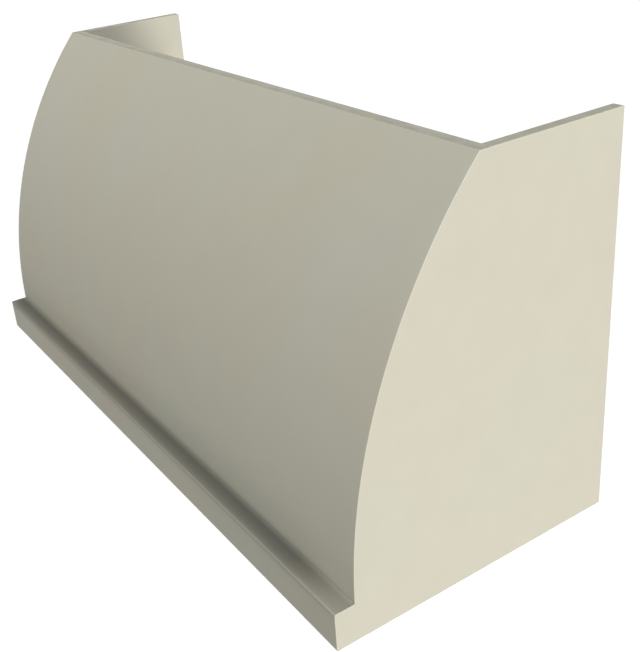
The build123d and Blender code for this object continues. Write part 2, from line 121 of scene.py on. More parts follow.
@dataclass(frozen=True)
class Cover:
    """The cover's driving sizes, in metres, and the places that follow from them."""

    width: float = 1.219
    height: float = 0.609
    depth: float = 0.488
    top_depth: float = 0.2435
    apron_height: float = 0.0605
    apron_thickness: float = 0.032
    apron_arris: float = 0.002
    side_thickness: float = 0.018
    outer_ply: float = 0.006
    inner_ply: float = 0.008
    rail_thickness: float = 0.018
    rib_thickness: float = 0.018
    batten_thickness: float = 0.022
    batten_width: float = 0.070
    batten_drop: float = 0.020
    ledger_width: float = 0.025
    insert_panel_thickness: float = 0.012
    insert_panel_recess: float = 0.020
    insert_panel_gap: float = 0.0015
    hanging_rail_height: float = 0.090
    hanging_rail_drop: float = 0.110
    lower_rail_height: float = 0.100
    rebate_depth: float = 0.008
    housing_depth: float = 0.006
    housing_end_gap: float = 0.0003

    @property
    def half(self) -> float:
        """From the middle to a side panel's outer face."""
        return self.width / 2

    @property
    def inner_half(self) -> float:
        """From the middle to a side panel's inner face."""
        return self.half - self.side_thickness

    @property
    def housed_half(self) -> float:
        """From the middle to the end of a rail in its housing."""
        return self.inner_half + self.housing_depth - self.housing_end_gap

    @property
    def wall_y(self) -> float:
        """The wall plane."""
        return self.depth / 2

    @property
    def wall_rail_y(self) -> float:
        """The front faces of the rails at the wall."""
        return self.wall_y - self.rail_thickness

    @property
    def apron_y(self) -> float:
        """The apron's front face."""
        return self.wall_y - self.depth

    @property
    def skin_y(self) -> float:
        """The foot of the curved front, where the apron's back lies on it."""
        return self.apron_y + self.apron_thickness

    @property
    def rail_front_y(self) -> float:
        """The front face of the rail behind the plies."""
        return self.skin_y + self.outer_ply + self.inner_ply

    @property
    def rail_back_y(self) -> float:
        """The back face of the rail behind the plies."""
        return self.rail_front_y + self.rail_thickness

    @property
    def ledger_back_y(self) -> float:
        """The back face of the front ledger."""
        return self.rail_back_y + self.ledger_width

    @property
    def rear_ledger_y(self) -> float:
        """The front face of the rear ledger."""
        return self.wall_rail_y - self.ledger_width

    @property
    def ledger_foot(self) -> float:
        """The underside of the ledgers, which the insert panel is screwed to."""
        return self.insert_panel_recess + self.insert_panel_thickness

    @property
    def hanging_rail_top(self) -> float:
        """The top edge of the hanging rail."""
        return self.height - self.hanging_rail_drop

    @property
    def hanging_rail_foot(self) -> float:
        """The lower edge of the hanging rail."""
        return self.hanging_rail_top - self.hanging_rail_height

    @property
    def rise(self) -> float:
        """The height of the front's arc."""
        return self.height - self.apron_height

    @property
    def skin_radius(self) -> float:
        """The radius of the front's arc, upright at the apron's top and ending at the top edge."""
        setback = self.wall_y - self.top_depth - self.skin_y
        return (self.rise**2 + setback**2) / (2 * setback)

    @property
    def joint_radius(self) -> float:
        """The radius of the glue line between the two plies."""
        return self.skin_radius - self.outer_ply

    @property
    def rib_outer_radius(self) -> float:
        """The radius of the ribs' curved edge, which the inner ply is glued to."""
        return self.joint_radius - self.inner_ply

    @property
    def rib_inner_radius(self) -> float:
        """The radius of the ribs' inner edge."""
        return self.rib_outer_radius - self.rail_thickness - self.ledger_width

    @property
    def batten_inner_radius(self) -> float:
        """The distance from the arc's centre to the batten's back corners."""
        return self.rib_outer_radius - self.batten_thickness

    @property
    def arc_y(self) -> float:
        """The arc's centre, level with the apron's top."""
        return self.skin_y + self.skin_radius

    @property
    def seam_y(self) -> float:
        """Where the back of the inner ply meets the top edge."""
        return self.arc_y - math.sqrt(self.rib_outer_radius**2 - self.rise**2)

    @property
    def batten_top_angle(self) -> float:
        """The angle of the batten's top edge, up from level."""
        return math.asin((self.rise - self.batten_drop) / self.rib_outer_radius)

    @property
    def rib_top_angle(self) -> float:
        """The angle of the joint between the ribs and the batten."""
        return self.batten_top_angle - self.batten_width / self.rib_outer_radius

    def top_angle(self, radius: float, above: float = 0.0) -> float:
        """The angle, up from level, at which an arc reaches the top edge or a height above it."""
        return math.asin((self.rise + above) / radius)

    def arc(self, radius: float, start: float, end: float) -> np.ndarray:
        """Points along an arc round the front's arc centre, as Y + iZ.

        Args:
            radius: The arc's radius.
            start: The first angle, up from level.
            end: The last angle.

        Returns:
            Points about 6 mm apart: centre minus radius times (cos angle) plus i radius (sin angle).
        """
        count = 1 + math.ceil(abs(end - start) * self.skin_radius / ARC_STEP)
        angle = np.linspace(start, end, count)
        return self.arc_y + 1j * self.apron_height - radius * np.exp(-1j * angle)


# ---- surfaces


@dataclass
class Surface:
    """A closed shape as points and the faces between them.

    Attributes:
        points: The corners, one row each.
        quads: Four point numbers for each four-sided face.
        caps: The point numbers of each face with more sides.
    """

    points: np.ndarray
    quads: np.ndarray
    caps: list[np.ndarray] = field(default_factory=list)

    def placed(self, place: "Place") -> "Surface":
        """A copy that is turned and moved from the origin's +Z to a place's direction."""
        return Surface(self.points @ place.basis + place.origin, self.quads, self.caps)


def joined(surfaces: Iterable[Surface]) -> Surface:
    """Several surfaces as one, kept as separate shells.

    Args:
        surfaces: The shells.

    Returns:
        One surface, with each shell's point numbers raised by the points that come before it.
    """
    points, quads, caps = [], [], []
    start = 0
    for surface in surfaces:
        points.append(surface.points)
        quads.append(surface.quads + start)
        caps += [cap + start for cap in surface.caps]
        start += len(surface.points)
    return Surface(np.concatenate(points), np.concatenate(quads), caps)


@dataclass(frozen=True)
class Place:
    """Where a fastener goes in and the direction that it runs."""

    origin: np.ndarray
    direction: np.ndarray
    length: float

    @property
    def basis(self) -> np.ndarray:
        """The fastener's own axes: two across it and, last, its direction.

        Returns:
            Three unit rows.
        """
        across = np.eye(3)[np.argmin(np.abs(self.direction))]
        first = np.cross(across, self.direction)
        first /= np.linalg.norm(first)
        return np.stack([first, np.cross(self.direction, first), self.direction])


def rounded(outline: np.ndarray, radii: np.ndarray | float) -> np.ndarray:
    """Rounds the corners of a closed outline.

    At a corner, the sides turn by an angle. The arc starts radius * tan(angle / 2) before the
    corner, its centre is a radius to the inside of that point, and its points turn about the centre
    by equal shares of the angle. A radius of zero leaves the corner as it is.

    Args:
        outline: The corners as Y + iZ, anticlockwise.
        radii: A radius for each corner, or one for all.

    Returns:
        The rounded outline, with no point twice in a row.
    """
    radii = np.broadcast_to(radii, outline.shape)
    before = outline - np.roll(outline, 1)
    after = np.roll(outline, -1) - outline
    before = before / np.abs(before)
    after = after / np.abs(after)
    turn = np.angle(after / before)
    start = outline - before * radii * np.tan(np.abs(turn) / 2)
    centre = start + 1j * np.sign(turn) * before * radii
    share = np.linspace(0.0, 1.0, EASE_STEPS + 1)
    arcs = centre[:, None] + (start - centre)[:, None] * np.exp(1j * turn[:, None] * share)
    points = arcs.ravel()
    return points[np.abs(points - np.roll(points, 1)) > TINY]


def lofted(rings: np.ndarray) -> Surface:
    """A closed shape through rings of points, one after another.

    Args:
        rings: The points, as a table of rings, of the places along each and of X, Y and Z.

    Returns:
        The surface, with four-sided faces between the rings and a cap on the first and the last.
    """
    count = rings.shape[1]
    numbers = np.arange(len(rings) * count).reshape(-1, count)
    following = np.roll(numbers, -1, axis=1)
    quads = np.stack([numbers[:-1], following[:-1], following[1:], numbers[1:]], axis=-1)
    return Surface(rings.reshape(-1, 3), quads.reshape(-1, 4), [numbers[0, ::-1], numbers[-1]])


def board(
    outline: np.ndarray,
    x_from: float,
    x_to: float,
    ease_from: np.ndarray | float = 0.0,
    ease_to: np.ndarray | float = 0.0,
) -> Surface:
    """A board with an outline in the YZ plane, carried along X, with its end arrises eased.

    At each end the outline is carried round a quarter circle: at an angle a from the end face, it
    lies ease * (1 - sin a) inside its full size and ease * (1 - cos a) in from the end.

    Args:
        outline: The corners as Y + iZ, anticlockwise.
        x_from: The lower end.
        x_to: The upper end.
        ease_from: The easing at the lower end, for each corner or for all.
        ease_to: The easing at the upper end.

    Returns:
        The board's surface.
    """
    side = np.roll(outline, -1) - outline
    after = -1j * side / np.abs(side)
    before = np.roll(after, 1)
    inward = -(before + after) / (1 + (before * after.conj()).real)
    angle = np.linspace(0.0, math.pi / 2, EASE_STEPS + 1)[:, None]
    rings = []
    for x_end, ease, sign in ((x_from, ease_from, 1), (x_to, ease_to, -1)):
        ease = np.broadcast_to(ease, outline.shape)
        flat = outline + inward * ease * (1 - np.sin(angle))
        x = x_end + sign * ease * (1 - np.cos(angle))
        ring = np.stack([np.broadcast_to(x, flat.shape), flat.real, flat.imag], axis=-1)
        rings.append(ring if sign > 0 else ring[::-1])
    return lofted(np.concatenate(rings))


def rectangle(y_from: float, y_to: float, z_from: float, z_to: float) -> np.ndarray:
    """The corners of a rectangle in the YZ plane, anticlockwise from its lowest."""
    return np.array([y_from + 1j * z_from, y_to + 1j * z_from, y_to + 1j * z_to, y_from + 1j * z_to])


def turned(radius: np.ndarray, height: np.ndarray, swell: np.ndarray | float = 0.0) -> Surface:
    """A turned shape about +Z, closed at both ends.

    A point at the angle t round the axis is (radius * cos t, radius * sin t, height), and the two
    ends close on the axis.

    Args:
        radius: The radius at each station, or at each station and angle.
        height: The height at each station, or at each station and angle.
        swell: What is added to the radius, as a table of stations and angles.

    Returns:
        The turned surface.
    """
    level = np.zeros(TURN_STEPS)
    radius = (radius if radius.ndim == 2 else radius[:, None]) + swell + level
    height = (height if height.ndim == 2 else height[:, None]) + level
    x, y = radius * np.cos(TURN_ANGLES), radius * np.sin(TURN_ANGLES)
    return lofted(np.stack([x, y, height], axis=-1))


# ---- meshes


def mesh_of(name: str, surface: Surface) -> bpy.types.Mesh:
    """Puts a surface into a new mesh, with its double points merged and its faces outwards.

    Args:
        name: The mesh's name.
        surface: The shape.

    Returns:
        The mesh.
    """
    faces = surface.quads.tolist() + [cap.tolist() for cap in surface.caps]
    mesh = bpy.data.meshes.new(name)
    mesh.from_pydata(surface.points.tolist(), [], faces)
    tidy(mesh)
    return mesh


def tidy(mesh: bpy.types.Mesh) -> None:
    """Merges a mesh's double points and turns its faces outwards.

    Args:
        mesh: The mesh, which is changed.
    """
    work = bmesh.new()
    work.from_mesh(mesh)
    bmesh.ops.remove_doubles(work, verts=work.verts, dist=TINY)
    bmesh.ops.dissolve_degenerate(work, edges=work.edges, dist=TINY)
    bmesh.ops.recalc_face_normals(work, faces=work.faces)
    work.to_mesh(mesh)
    work.free()


def linked(name: str, shown: bpy.types.ID) -> bpy.types.Object:
    """A new object in the scene.

    Args:
        name: Its name.
        shown: The mesh, lamp or camera that it shows.

    Returns:
        The object.
    """
    made = bpy.data.objects.new(name, shown)
    bpy.context.scene.collection.objects.link(made)
    return made


def cut(piece: bpy.types.Object, cutters: Iterable[Surface]) -> None:
    """Cuts shapes out of a piece, one after another, and keeps the result as its mesh.

    Args:
        piece: The piece, at the origin.
        cutters: The shapes, each a single shell or several that lie apart.
    """
    for cutter in cutters:
        tool = linked("cutter", mesh_of("cutter", cutter))
        step = piece.modifiers.new("cut", "BOOLEAN")
        step.operation = "DIFFERENCE"
        step.solver = "EXACT"
        step.object = tool
        graph = bpy.context.evaluated_depsgraph_get()
        whole = bpy.data.meshes.new_from_object(piece.evaluated_get(graph))
        piece.modifiers.clear()
        old, piece.data = piece.data, whole
        whole.name = piece.name
        bpy.data.meshes.remove(old)
        bpy.data.meshes.remove(tool.data)
    tidy(piece.data)


def smoothed(piece: bpy.types.Object) -> None:
    """Shades curves and eased arrises smoothly and keeps the large faces flat.

    Args:
        piece: The piece, which gets a modifier.
    """
    piece.data.shade_smooth()
    piece.data.set_sharp_from_angle(angle=SHARP_ANGLE)
    weighted = piece.modifiers.new("weighted_normals", "WEIGHTED_NORMAL")
    weighted.keep_sharp = True
    weighted.weight = FACE_WEIGHT


# ---- material graphs


class Graph:
    """The nodes of one material, with a short method for each kind in use."""

    def __init__(self, name: str) -> None:
        """Starts an empty material.

        Args:
            name: The material's name.
        """
        self.material = bpy.data.materials.new(name)
        self.material.use_nodes = True
        self.tree = self.material.node_tree
        self.tree.nodes.clear()
        self.output = self.node("ShaderNodeOutputMaterial")

    def node(self, kind: str, **settings: object) -> bpy.types.Node:
        """A new node.

        Args:
            kind: Its type.
            settings: Some of its properties, by name.

        Returns:
            The node.
        """
        made = self.tree.nodes.new(kind)
        for name, value in settings.items():
            setattr(made, name, value)
        return made

    def feed(self, socket: Socket, value: object) -> None:
        """Links a socket to another, or sets its value.

        Args:
            socket: The input.
            value: A node's output, a number, or three numbers for a vector or a colour.
        """
        if isinstance(value, bpy.types.NodeSocket):
            self.tree.links.new(value, socket)
        elif isinstance(value, tuple) and len(value) == 3 and len(socket.default_value) == 4:
            socket.default_value = (*value, 1.0)
        else:
            socket.default_value = value

    def coordinates(
        self, centre: Point = (0, 0, 0), turn: Point = (0, 0, 0), size: Point = (1, 1, 1)
    ) -> Socket:
        """Object coordinates as seen from a pattern.

        Args:
            centre: The pattern's centre, in metres.
            turn: Its rotation.
            size: The length of one unit of the pattern along each axis, in metres.

        Returns:
            The mapped coordinates.
        """
        source = self.node("ShaderNodeTexCoord").outputs["Object"]
        mapping = self.node("ShaderNodeMapping", vector_type="TEXTURE")
        self.feed(mapping.inputs["Vector"], source)
        self.feed(mapping.inputs["Location"], tuple(centre))
        self.feed(mapping.inputs["Rotation"], tuple(turn))
        self.feed(mapping.inputs["Scale"], tuple(size))
        return mapping.outputs[0]

    def parts(self, vector: Socket) -> tuple[Socket, Socket, Socket]:
        """Splits a vector.

        Args:
            vector: The vector.

        Returns:
            Its X, Y and Z.
        """
        split = self.node("ShaderNodeSeparateXYZ")
        self.feed(split.inputs[0], vector)
        return split.outputs[0], split.outputs[1], split.outputs[2]

    def place(self) -> tuple[Socket, Socket, Socket]:
        """The X, Y and Z of the point on the surface."""
        return self.parts(self.coordinates())

    def normal(self) -> tuple[Socket, Socket, Socket]:
        """The three parts of the surface's direction."""
        return self.parts(self.node("ShaderNodeTexCoord").outputs["Normal"])

    def sideways(self, other: float, side: float) -> Socket:
        """The first of two numbers on faces that look another way, and the second on side faces."""
        return self.fitted(self.math("ABSOLUTE", self.normal()[0]), *SIDE_SPAN, other, side)

    def math(self, operation: str, *values: object) -> Socket:
        """A sum or another operation.

        Args:
            operation: The Math node's word for it.
            values: One, two or three numbers.

        Returns:
            The result.
        """
        made = self.node("ShaderNodeMath", operation=operation)
        for socket, value in zip(made.inputs, values):
            self.feed(socket, value)
        return made.outputs[0]

    def product(self, *factors: object) -> Socket:
        """Several numbers multiplied together.

        Args:
            factors: Two numbers or more.

        Returns:
            Their product.
        """
        total = factors[0]
        for factor in factors[1:]:
            total = self.math("MULTIPLY", total, factor)
        return total

    def one_less(self, value: Socket) -> Socket:
        """What is left of 1 when a number is taken from it."""
        return self.math("SUBTRACT", 1.0, value)

    def weighed(self, first: Socket, second: Socket, share: float) -> Socket:
        """The sum of two numbers, with a share of the second and the rest of the first."""
        return self.math("ADD", self.product(first, 1.0 - share), self.product(second, share))

    def noise(self, size: float | Point, detail: float = 2.0, distortion: float = 0.0) -> Socket:
        """Soft noise from 0 to 1 on Object coordinates.

        Args:
            size: The length of one unit of the noise, in metres, on all axes or on each.
            detail: How many finer layers it has.
            distortion: How much it is bent.

        Returns:
            The noise.
        """
        made = self.node("ShaderNodeTexNoise")
        sizes = size if isinstance(size, tuple) else (size,) * 3
        self.feed(made.inputs["Vector"], self.coordinates(size=sizes))
        self.feed(made.inputs["Scale"], 1.0)
        self.feed(made.inputs["Detail"], detail)
        self.feed(made.inputs["Distortion"], distortion)
        return made.outputs[0]

    def fitted(
        self,
        value: Socket,
        low: float,
        high: float,
        to_low: float = 0.0,
        to_high: float = 1.0,
        soft: bool = True,
    ) -> Socket:
        """A number carried from one range to another and held within it.

        Args:
            value: The number.
            low: The start of its range.
            high: The end of its range.
            to_low: What the start becomes.
            to_high: What the end becomes.
            soft: Eases in and out of the ends of the range.

        Returns:
            The new number.
        """
        kind = "SMOOTHSTEP" if soft else "LINEAR"
        made = self.node("ShaderNodeMapRange", interpolation_type=kind)
        for socket, number in zip(made.inputs, (value, low, high, to_low, to_high)):
            self.feed(socket, number)
        return made.outputs[0]

    def curve(self, value: Socket, stops: Sequence[Span]) -> Socket:
        """A number read off a smooth curve through stops, and held past the first and the last.

        Args:
            value: Where to read.
            stops: The places and heights of the curve's points, in order.

        Returns:
            The curve's height.
        """
        first, last = stops[0][0], stops[-1][0]
        made = self.node("ShaderNodeFloatCurve")
        points = made.mapping.curves[0].points
        points[0].location = (0.0, stops[0][1])
        points[1].location = (1.0, stops[-1][1])
        for place, height in stops[1:-1]:
            points.new((place - first) / (last - first), height)
        made.mapping.update()
        self.feed(made.inputs["Value"], self.fitted(value, first, last, soft=False))
        return made.outputs[0]

    def blend(self, share: object, first: object, second: object, kind: str = "MIX") -> Socket:
        """Mixes two colours.

        Args:
            share: From 0, for all of the first, to 1.
            first: The first colour.
            second: The second colour.
            kind: The Mix node's word for how they join.

        Returns:
            The mixed colour.
        """
        made = self.node("ShaderNodeMix", data_type="RGBA", blend_type=kind)
        self.feed(made.inputs[0], share)
        self.feed(made.inputs[6], first)
        self.feed(made.inputs[7], second)
        return made.outputs[2]

    def flecked(self, ground: Socket, noise: Socket, span: Span, share: float, fleck: Colour) -> Socket:
        """A ground colour with flecks over it, up to a share, where a noise rises through a span."""
        return self.blend(self.fitted(noise, *span, 0.0, share), ground, fleck)

    def grey(self, value: Socket) -> Socket:
        """A number as a grey colour.

        Args:
            value: The number.

        Returns:
            The colour.
        """
        made = self.node("ShaderNodeCombineColor")
        for socket in made.inputs[:3]:
            self.feed(socket, value)
        return made.outputs[0]

    def bump(self, height: Socket, depth: float) -> Socket:
        """The surface's direction where a height stands out.

        Args:
            height: The height, from 0 to 1.
            depth: How far a height of 1 stands out, in metres.

        Returns:
            The direction.
        """
        made = self.node("ShaderNodeBump")
        self.feed(made.inputs["Strength"], 1.0)
        self.feed(made.inputs["Distance"], depth)
        self.feed(made.inputs["Height"], height)
        return made.outputs[0]

    def finish(self, **sockets: object) -> bpy.types.Material:
        """Ends the graph in one Principled shader.

        Args:
            sockets: Its inputs by name, with underscores for spaces.

        Returns:
            The material.
        """
        shader = self.node("ShaderNodeBsdfPrincipled")
        for name, value in sockets.items():
            self.feed(shader.inputs[name.replace("_", " ")], value)
        self.feed(self.output.inputs["Surface"], shader.outputs[0])
        return self.material


# ---- finishes


@dataclass(frozen=True)
class CoveShade:
    """The shade in the cove above the apron, where the apron's top meets the front.

    It is read off a curve along the section, which runs up the face of the apron, back over its top
    and up the front, with zero in the cove. The shade lies at a slight slant to the cove, nearer to
    the arris at the left end, and lightens at the right end. It fades out behind the front.
    """

    cover: Cover
    stops: tuple[Span, ...] = (
        (-0.0645, 1.0),
        (-0.0455, 0.96),
        (-0.0380, 0.82),
        (-0.0325, 0.615),
        (-0.0310, 0.46),
        (-0.0239, 0.315),
        (-0.0155, 0.250),
        (-0.0090, 0.220),
        (-0.0060, 0.262),
        (-0.0025, 0.338),
        (0.0, 0.45),
        (0.0015, 0.61),
        (0.004, 0.69),
        (0.008, 0.79),
        (0.014, 0.86),
        (0.034, 0.91),
        (0.060, 0.97),
        (0.100, 1.0),
    )
    slant: float = 0.0017
    reach: float = 0.010
    fade: float = 0.002
    end: Span = (0.47, 0.645)
    end_lightening: float = 0.50

    def share(self, graph: Graph) -> Socket:
        """How the shade dims the paint.

        Args:
            graph: The material's nodes.

        Returns:
            The share of the paint's own colour that shows, which is 1 away from the cove.
        """
        foot_y = self.cover.skin_y
        x, y, z = graph.parts(graph.coordinates(turn=(0.0, 0.0, self.slant)))
        forward = graph.math("MINIMUM", graph.math("SUBTRACT", y, foot_y), 0.0)
        along = graph.math("ADD", graph.math("SUBTRACT", z, self.cover.apron_height), forward)
        shade = graph.one_less(graph.curve(along, self.stops))
        near = graph.fitted(y, foot_y + self.reach, foot_y + self.reach + self.fade, 1.0, 0.0)
        end = graph.fitted(x, *self.end, 1.0, 1.0 - self.end_lightening)
        return graph.one_less(graph.product(shade, near, graph.sideways(1.0, 0.0), end))


@dataclass(frozen=True)
class InnerShade:
    """The shade on the side panels' inner faces, which deepens from the wall towards the front.

    Near the top it also leans, so that it reaches further back the deeper it lies.
    """

    cover: Cover
    deep_y: float = 0.055
    light_y: float = 0.215
    deep: float = 0.42
    light: float = 0.89
    lean: float = 0.43
    lean_reach: float = 0.06

    def faces(self, graph: Graph) -> Socket:
        """Where the inner faces are.

        Args:
            graph: The material's nodes.

        Returns:
            1 on the inner faces and 0 elsewhere.
        """
        middle = self.cover.half - self.cover.side_thickness / 2
        inside = graph.math("LESS_THAN", graph.math("ABSOLUTE", graph.place()[0]), middle)
        return graph.product(inside, graph.sideways(0.0, 1.0))

    def share(self, graph: Graph) -> Socket:
        """How the shade dims the paint.

        Args:
            graph: The material's nodes.

        Returns:
            The share of the paint's own colour that shows, which is 1 off the inner faces.
        """
        _, y, z = graph.place()
        below = graph.math("SUBTRACT", self.cover.height, z)
        leaning = graph.product(graph.math("MINIMUM", below, self.lean_reach), self.lean)
        depth = graph.math("SUBTRACT", y, leaning)
        shade = graph.fitted(depth, self.deep_y, self.light_y, 1.0 - self.deep, 1.0 - self.light)
        return graph.one_less(graph.product(shade, self.faces(graph)))


@dataclass(frozen=True)
class TopEdgeShade:
    """Painted shade on the cover's level top edges, darker in patches."""

    cover: Cover
    depth: float = 0.002
    least: float = 0.20
    most: float = 0.30
    patch_size: float = 0.02
    level_span: Span = (0.8, 0.95)

    def share(self, graph: Graph) -> Socket:
        """How the painted shade dims the paint.

        Args:
            graph: The material's nodes.

        Returns:
            The share of the paint's own colour that shows, which is 1 off the top edges.
        """
        patches = graph.noise(self.patch_size, detail=3.0)
        # painted shade: the level top edges are darkened by a share between least and most, in patches
        top_shade = graph.fitted(patches, *NOISE_SPAN, self.least, self.most)
        top = self.cover.height
        high = graph.fitted(graph.place()[2], top - self.depth, top - self.depth / 4)
        level = graph.fitted(graph.normal()[2], *self.level_span)
        return graph.one_less(graph.product(top_shade, high, level))


@dataclass(frozen=True)
class EggshellPaint:
    """Sprayed eggshell paint in a warm grey, with a fine texture and a slow drift of its tone.

    Side faces keep only a share of the drift's coolness, and the inner ones are cool all over:
    painted warm and cool tints of the light that falls on them.
    """

    cover: Cover
    warm: Colour = (0.716, 0.680, 0.551)
    cool: Colour = (0.700, 0.689, 0.569)
    # the dark, slightly blue colour that the painted shades blend towards
    deep: Colour = (0.002, 0.003, 0.008)
    side_coolness: float = 0.35
    drift_size: float = 0.26
    drift_span: Span = (0.35, 0.65)
    cloud_size: float = 0.055
    cloud_span: Span = (0.25, 0.75)
    cloud_depth: float = 0.012
    peel_size: float = 0.0018
    peel_height: float = 0.000012
    roughness: Span = (0.59, 0.69)
    specular: float = 0.12

    def clean(self, graph: Graph) -> Socket:
        """The paint's own colour.

        Args:
            graph: The material's nodes.

        Returns:
            The drifting tone, made a little lighter and darker in clouds.
        """
        drift = graph.fitted(graph.noise(self.drift_size, detail=1.0), *self.drift_span)
        # painted light tint: side faces warmer and inner faces cool, for the colour of the light on
        # them
        coolness = graph.product(drift, graph.sideways(1.0, self.side_coolness))
        coolness = graph.math("MAXIMUM", coolness, InnerShade(self.cover).faces(graph))
        tone = graph.blend(coolness, self.warm, self.cool)
        cloud = graph.noise(self.cloud_size, detail=3.0)
        depth = graph.fitted(cloud, *self.cloud_span, 1.0 - self.cloud_depth, 1.0 + self.cloud_depth)
        return graph.blend(1.0, tone, graph.grey(depth), "MULTIPLY")

    def colour(self, graph: Graph) -> Socket:
        """The paint's colour, with the painted shades that lie on it.

        Args:
            graph: The material's nodes.

        Returns:
            The clean colour, and the deep one for the share that they take.
        """
        # painted shade in the cove, on the inner faces and on the top edges
        layers = CoveShade(self.cover), InnerShade(self.cover), TopEdgeShade(self.cover)
        share = graph.product(*(layer.share(graph) for layer in layers))
        return graph.blend(share, self.deep, self.clean(graph))

    def material(self) -> bpy.types.Material:
        """Makes the paint.

        Returns:
            Its material.
        """
        graph = Graph("eggshell_paint")
        return graph.finish(
            Base_Color=self.colour(graph),
            Roughness=graph.fitted(graph.noise(self.cloud_size), *NOISE_SPAN, *self.roughness),
            Specular_IOR_Level=self.specular,
            Normal=graph.bump(graph.noise(self.peel_size), self.peel_height),
        )


@dataclass(frozen=True)
class PaintedEdge:
    """Where paint covers a piece of bare wood: its edges in the planes of the top and the foot."""

    paint: EggshellPaint
    lap: float = 0.0004
    raggedness: float = 0.0006
    ragged_size: float = 0.004

    def share(self, graph: Graph) -> Socket:
        """Where there is paint.

        Args:
            graph: The material's nodes.

        Returns:
            1 on the painted edges and 0 on bare wood.
        """
        z = graph.place()[2]
        ragged = graph.noise(self.ragged_size, detail=3.0)
        lap = graph.fitted(ragged, *NOISE_SPAN, self.lap, self.lap + self.raggedness, soft=False)
        foot = graph.math("LESS_THAN", z, lap)
        top = graph.math("SUBTRACT", self.paint.cover.height, lap)
        return graph.math("MAXIMUM", foot, graph.math("GREATER_THAN", z, top))

    def over(self, graph: Graph, bare: Socket) -> Socket:
        """A bare colour with the paint over it at the painted edges."""
        return graph.blend(self.share(graph), bare, self.paint.colour(graph))


def stretched(grain: Axis, along: float, across: float) -> Point:
    """The unit lengths of a pattern that is drawn out along the grain."""
    return tuple(np.where(grain.unit > 0, along, across))


@dataclass(frozen=True)
class BirchPly:
    """Bare sanded birch plywood: rotary-cut faces, and edges that show the sheet's plies."""

    edge_paint: PaintedEdge
    pale: Colour = (0.70, 0.535, 0.35)
    dark: Colour = (0.62, 0.445, 0.275)
    edge_pale: Colour = (0.60, 0.43, 0.26)
    edge_dark: Colour = (0.34, 0.215, 0.115)
    ply_count: int = 13
    sheet: float = 0.018
    stripe_span: Span = (0.20, 0.30)
    figure_length: float = 0.30
    figure_width: float = 0.020
    figure_span: Span = (0.38, 0.66)
    pore_length: float = 0.012
    pore_width: float = 0.0007
    pore_span: Span = (0.62, 0.80)
    fibre_size: float = 0.0006
    fibre_span: Span = (0.35, 0.75)
    fleck_share: float = 0.35
    face_span: Span = (0.6, 0.8)
    stripe_relief: float = 0.4
    relief: float = 0.00008
    roughness: Span = (0.55, 0.68)

    def material(self, name: str, thickness: Axis, grain: Axis, face: float) -> bpy.types.Material:
        """The plywood of one piece.

        Args:
            name: The material's name.
            thickness: The axis across the sheet.
            grain: The axis along the face grain.
            face: The place of one face of the sheet along the thickness axis.

        Returns:
            The material.
        """
        graph = Graph(name)
        broad = stretched(grain, self.figure_length, self.figure_width)
        figure = graph.noise(broad, detail=3.0, distortion=0.8)
        pores = graph.noise(stretched(grain, self.pore_length, self.pore_width))
        shown = graph.blend(graph.fitted(figure, *self.figure_span), self.pale, self.dark)
        shown = graph.flecked(shown, pores, self.pore_span, self.fleck_share, self.edge_dark)

        depth = graph.math("SUBTRACT", graph.place()[thickness.value], face)
        layer = graph.product(graph.math("DIVIDE", depth, self.sheet), self.ply_count / 2)
        off_middle = graph.math("SUBTRACT", graph.math("FRACT", layer), 0.5)
        stripe = graph.fitted(graph.math("ABSOLUTE", off_middle), *self.stripe_span)
        edge = graph.blend(stripe, self.edge_dark, self.edge_pale)
        fibres = graph.noise(self.fibre_size)
        edge = graph.flecked(edge, fibres, self.fibre_span, self.fleck_share, self.dark)

        facing = graph.math("ABSOLUTE", graph.normal()[thickness.value])
        wood = graph.blend(graph.fitted(facing, *self.face_span), edge, shown)
        return graph.finish(
            Base_Color=self.edge_paint.over(graph, wood),
            Roughness=graph.fitted(figure, *NOISE_SPAN, *self.roughness),
            Normal=graph.bump(graph.weighed(pores, stripe, self.stripe_relief), self.relief),
        )


@dataclass(frozen=True)
class BendingPly:
    """Bare bending plywood: an open-pored reddish veneer, with its grain along the bend's axis."""

    edge_paint: PaintedEdge
    pale: Colour = (0.56, 0.335, 0.20)
    dark: Colour = (0.455, 0.258, 0.148)
    pore: Colour = (0.19, 0.095, 0.052)
    figure_length: float = 0.9
    figure_width: float = 0.035
    figure_span: Span = (0.34, 0.66)
    pore_length: float = 0.022
    pore_width: float = 0.0009
    pore_span: Span = (0.60, 0.74)
    pore_share: float = 0.7
    relief: float = 0.00015
    roughness: Span = (0.60, 0.74)

    def material(self, name: str) -> bpy.types.Material:
        """The bending plywood, with its grain along X.

        Args:
            name: The material's name.

        Returns:
            The material.
        """
        graph = Graph(name)
        bands = stretched(Axis.X, self.figure_length, self.figure_width)
        figure = graph.noise(bands, detail=4.0, distortion=0.6)
        pores = graph.noise(stretched(Axis.X, self.pore_length, self.pore_width))
        wood = graph.blend(graph.fitted(figure, *self.figure_span), self.pale, self.dark)
        wood = graph.flecked(wood, pores, self.pore_span, self.pore_share, self.pore)
        return graph.finish(
            Base_Color=self.edge_paint.over(graph, wood),
            Roughness=graph.fitted(figure, *NOISE_SPAN, *self.roughness),
            Normal=graph.bump(graph.one_less(pores), self.relief),
        )


